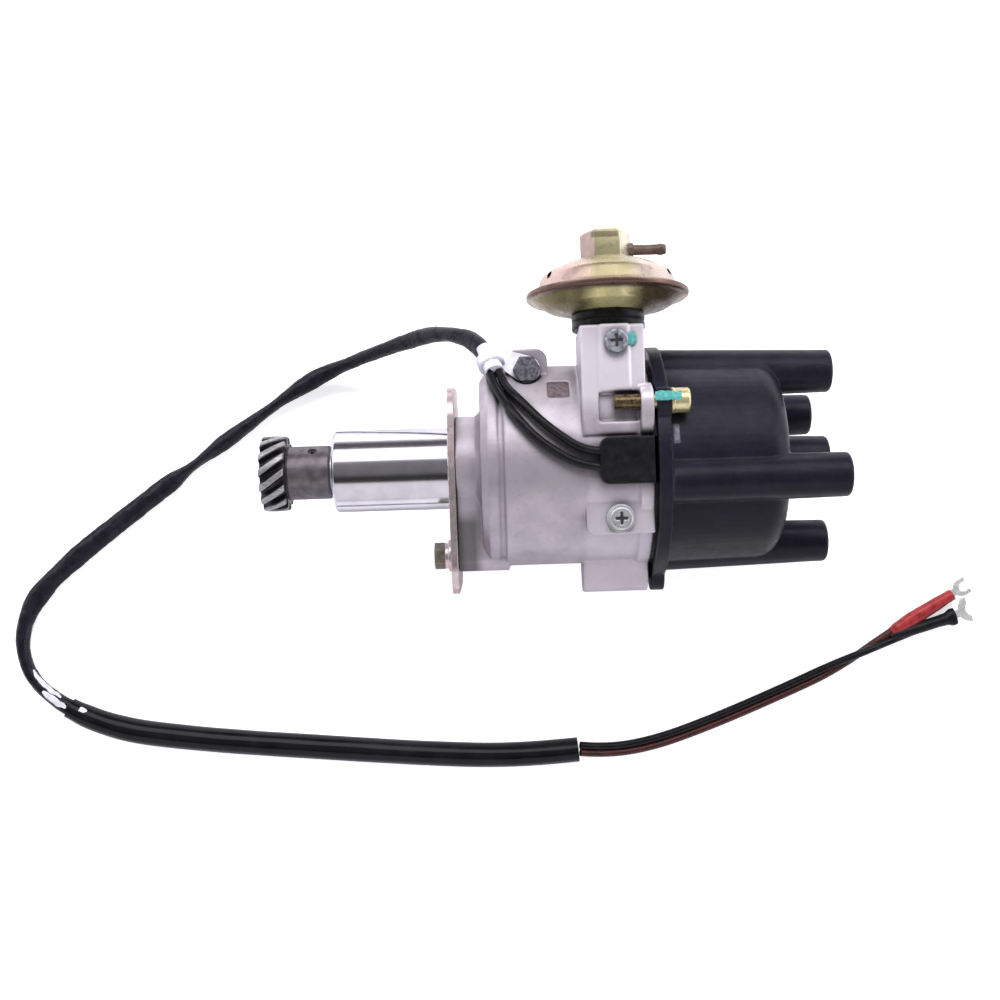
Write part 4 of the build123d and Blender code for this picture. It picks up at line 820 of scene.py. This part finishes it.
def sheath():
    """The taped run: overlapping turns of tape with folds, over two leads that twist."""
    line = spread(line_of(SHEATH_ROUTE), 0.45)
    piece = wrapped("sheath", line, sheath_reach, 36)
    dress(piece, TAPE, "harness_sheath")
    return line


def tube_reach(along, turn):
    """The glossy tube's radius: drawn in at its start, with a slow waver."""
    drawn = table(((0, 3.75), (9, 4.2), (24, 4.5), (400, 4.5)), along)
    return drawn + 0.07 * noise.noise(Vector((along * 0.06, math.cos(turn), math.sin(turn))))


def sleeving():
    """The glossy tube over the harness, open at its far end."""
    line = spread(line_of(TUBE_ROUTE), 1.0)
    piece = wrapped("tube", line, tube_reach, 44, 3.45)
    dress(piece, GLOSS, "harness_tube")
    return line


def patch(name, line, reach_at, run, sweep, surface, seed):
    """A thin piece of tape on a cord, with torn ends: run along it in millimetres, sweep round it in degrees, where
    90 is straight up and 180 is to the left of the way the cord runs."""
    marks = [mark for mark in stations(line) if run[0] <= mark[0] <= run[1]]
    columns = 14
    points, faces = [], []
    for along, centre, side, up in marks:
        share = (along - run[0]) / (run[1] - run[0])
        torn = 9 * noise.noise(Vector((along * 0.45, seed, 0.0)))
        narrow = 1 - 0.75 * abs(2 * share - 1) ** 3
        for column in range(columns + 1):
            middle, half = (sweep[0] + sweep[1]) / 2, (sweep[1] - sweep[0]) / 2
            turn = math.radians(middle + torn + half * narrow * (2 * column / columns - 1))
            crinkle = 0.05 * noise.noise(Vector((along * 0.6, turn * 3, seed)))
            reach = reach_at(along, turn) + 0.10 + crinkle
            points.append(centre + (side * math.cos(turn) + up * math.sin(turn)) * reach)
    for row in range(len(marks) - 1):
        for column in range(columns):
            low = row * (columns + 1) + column
            faces.append((low, low + 1, low + columns + 2, low + columns + 1))
    return trim(mesh_object(name, points, faces), surface, "case")


sheath_line = sheath()
tube_line = sleeving()
patch("tape_patch", sheath_line, sheath_reach, (256, 272), (118, 165), WHITE_TAPE, 1.0)
patch("tape_patch_end", sheath_line, sheath_reach, (265, 276), (66, 116), WHITE_TAPE, 5.0)
patch("tape_dab", tube_line, tube_reach, (3.0, 7), (112, 140), WHITE_TAPE, 3.0)


def clear_sleeve():
    """The crinkled clear sleeve under the clip."""
    start, end = (Vector(point) for point in SHEATH_ROUTE[:2])
    ahead = (end - start).normalized()
    line = [(start + ahead * 11 * t / 44) * MM for t in range(45)]

    def radius_at(along, turn):
        """Crinkles that run mostly along the sleeve."""
        crinkle = noise.noise(Vector((along * 0.35, math.cos(turn) * 2.2, math.sin(turn) * 2.2)))
        return 3.24 + 0.10 * crinkle

    return dress(wrapped("clear_sleeve", line, radius_at, 40), CLEAR, "harness_sleeve")


clear_sleeve()


# ---------------------------------------------------------------- springs, painted shade in screw recesses, and vent
def spring(node):
    """A CAD spring's shape on a mesh of its own, on the spring's body."""
    piece = add_object(node + "_coil", frame["nodes"][node].data.copy())
    dress(piece, BRIGHT, node)
    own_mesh(piece)


def recess(name, place, arm, wide):
    """A dark fill of painted shade in the floor of a cross recess, so that it reads dark."""
    reach, half = arm / 2 - 0.25, wide / 2 - 0.06
    outline = [(half, half), (reach, half * 0.7), (reach, -half * 0.7), (half, -half), (half * 0.7, -reach), (-half * 0.7, -reach),
               (-half, -half), (-reach, -half * 0.7), (-reach, half * 0.7), (-half, half), (-half * 0.7, reach), (half * 0.7, reach)]
    points = [place @ Vector((x, y, h)) for h in (-0.75, -0.35) for x, y in outline]
    faces = [(n, (n + 1) % 12, 12 + (n + 1) % 12, 12 + n) for n in range(12)] + [tuple(range(12, 24)), tuple(reversed(range(12)))]
    return trim(mesh_object(name, points, faces, 20), RECESS_SHADE, "case")


def vent_plug():
    """The brown felt just under the vent in the drum's side."""
    points, faces = [], []
    rows, columns = 12, 12
    for row in range(rows + 1):
        for column in range(columns + 1):
            x = 33.2 + 7.6 * row / rows
            turn = math.radians(44 - 7.2 + 14.4 * column / columns)
            reach = 33.1 + 0.25 * noise.noise(Vector((x * 0.8, turn * 20, 2.0)))
            points.append((x, reach * math.cos(turn), reach * math.sin(turn)))
    for row in range(rows):
        for column in range(columns):
            low = row * (columns + 1) + column
            faces.append((low, low + 1, low + columns + 2, low + columns + 1))
    return trim(mesh_object("vent_felt", points, faces), FELT, "case")


spring("vacuum_spring")
low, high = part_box("brush_spring")
spring("brush_spring")
low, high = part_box("vacuum_screw")
spot = (low + high) / 2 / MM
recess("recess_vacuum", frame_at((spot.x, spot.y, high.z / MM), (0, 0, 1)), 4.2, 1.0)
recess("recess_side_1", frame_at((55.5, -18.4, 34.5), (0, 0, 1)), 4.2, 1.0)
recess("recess_side_2", frame_at((55.5, 18.4, -34.5), (0, 0, -1)), 4.2, 1.0)
vent_plug()


# ---------------------------------------------------------------- torque paint
def paint_stripe():
    """The turquoise stripe over the cap's ear and on to its screw."""
    points, faces = [], []
    rows, columns = 18, 9
    axis = Vector((0, 18.54, 34.88))
    for row in range(rows + 1):
        x = 66.8 + 8.4 * row / rows
        reach = 4.42 if x < 72.0 else 4.28 if x < 73.0 else 4.04
        for column in range(columns + 1):
            ragged = noise.noise(Vector((x * 0.9, column * 0.4, 1.0)))
            turn = math.radians(92 - 42 * column / columns + 7 * ragged)
            skin = reach + 0.10 * math.sin(math.pi * column / columns) + 0.03 * ragged
            points.append(Vector((x, 0, 0)) + axis + Vector((0, math.cos(turn), math.sin(turn))) * skin)
    for row in range(rows):
        for column in range(columns):
            low = row * (columns + 1) + column
            faces.append((low, low + 1, low + columns + 2, low + columns + 1))
    return trim(mesh_object("paint_stripe", points, faces), PAINT, "case")


def paint_blob():
    """The turquoise dab beside the vacuum unit's screw."""
    points, faces = [], []
    rings, sides = 5, 28
    centre = Vector((60.2, 38.6, 34.80))
    points.append(centre + Vector((0, 0, 0.34)))
    for ring in range(1, rings + 1):
        for n in range(sides):
            turn = 2 * math.pi * n / sides
            share = ring / rings
            ragged = 1 + 0.22 * noise.noise(Vector((math.cos(turn) * 1.4, math.sin(turn) * 1.4, 4.0)))
            spot = Vector((1.5 * math.cos(turn), 2.3 * math.sin(turn), 0)) * share * ragged
            points.append(centre + spot + Vector((0, 0, 0.34 * (1 - share**2) - 0.02)))
    for n in range(sides):
        faces.append((0, 1 + n, 1 + (n + 1) % sides))
    for ring in range(rings - 1):
        low = 1 + ring * sides
        for n in range(sides):
            after = (n + 1) % sides
            faces.append((low + n, low + sides + n, low + sides + after, low + after))
    return trim(mesh_object("paint_blob", points, faces), PAINT, "case")


paint_stripe()
paint_blob()


# ---------------------------------------------------------------- floor, backdrop and lamps
def floor():
    """A white floor: the camera sees it as white, less a faint shadow."""
    mesh = bpy.data.meshes.new("floor")
    half = 3.0
    z = (FLOOR - 0.02) * MM
    mesh.from_pydata([(-half, -half, z), (half, -half, z), (half, half, z), (-half, half, z)], [], [(0, 1, 2, 3)])
    made, tree, shader = material("floor", Base_Color=(0.72, 0.72, 0.76, 1), Roughness=0.9)
    seen = add(tree, "LightPath").outputs["Is Camera Ray"]
    strength = between(tree, seen, 0.0, 0.62, 0, 1)
    shader.inputs["Emission Color"].default_value = (1, 1, 1, 1)
    link(tree, strength, shader, "Emission Strength")
    mesh.materials.append(made)
    piece = add_object("floor", mesh)
    return piece


def lamp(name, place, target, size, power):
    """A soft lamp aimed at a point, in metres, that metal doesn't mirror."""
    data = bpy.data.lights.new(name, "AREA")
    data.shape = "RECTANGLE"
    data.size, data.size_y = size
    data.energy = power
    lamp_object = add_object(name, data)
    lamp_object.location = place
    lamp_object.visible_glossy = False
    direction = Vector(target) - Vector(place)
    lamp_object.rotation_euler = direction.to_track_quat("-Z", "Y").to_euler()
    return lamp_object


SKY = ((-90, 0.80), (-52, 0.86), (-37, 0.80), (-33, 0.03), (-20, 0.03), (-10, 0.16), (26, 0.22), (30, 2.2), (62, 2.2),
       (66, 0.10), (84, 0.10), (90, 0.60))


def world():
    """A pale room for soft light; what shines mirrors long soft boxes either side of a dark ceiling, and one beyond
    the cap."""
    room = bpy.data.worlds.new("room")
    bpy.context.scene.world = room
    room.use_nodes = True
    tree = room.node_tree
    parts = add(tree, "SeparateXYZ", {"Vector": add(tree, "TexCoord").outputs["Generated"]})
    lean = add(tree, "Math", {0: parts.outputs["Y"], 1: parts.outputs["Z"]}, operation="ARCTAN2").outputs["Value"]
    place = between(tree, lean, 0, 1, -math.pi / 2, math.pi / 2)
    strength = max(level for _, level in SKY)
    stops = [((angle + 90) / 180, (level / strength * 0.97, level / strength * 0.96, level / strength))
             for angle, level in SKY]
    mirrored = ramp(tree, place, stops)
    side_box = between(tree, parts.outputs["X"], 0.0, 0.8, 0.80, 0.87)
    mirrored = mix(tree, side_box, mirrored, (0.97, 0.96, 1.0))
    background = tree.nodes["Background"]
    background.inputs["Color"].default_value = (0.95, 0.96, 1.0, 1)
    background.inputs["Strength"].default_value = 0.34
    shine = add(tree, "Background", {"Color": mirrored, "Strength": strength}).outputs["Background"]
    glossy = add(tree, "LightPath").outputs["Is Glossy Ray"]
    both = add(tree, "MixShader", {0: glossy, 1: background.outputs["Background"], 2: shine}).outputs["Shader"]
    seen = add(tree, "LightPath").outputs["Is Camera Ray"]
    backdrop = add(tree, "Background", {"Color": (0.86, 0.87, 0.90, 1), "Strength": 1.0}).outputs["Background"]
    both = add(tree, "MixShader", {0: seen, 1: both, 2: backdrop}).outputs["Shader"]
    tree.links.new(both, tree.nodes["World Output"].inputs["Surface"])


floor()
world()
lamp("key", (0.06, 0.72, 0.72), (0, 0, 0), (0.5, 0.4), 17)
lamp("fill", (-0.1, -0.7, 0.75), (0, 0, 0), (0.8, 0.6), 5)
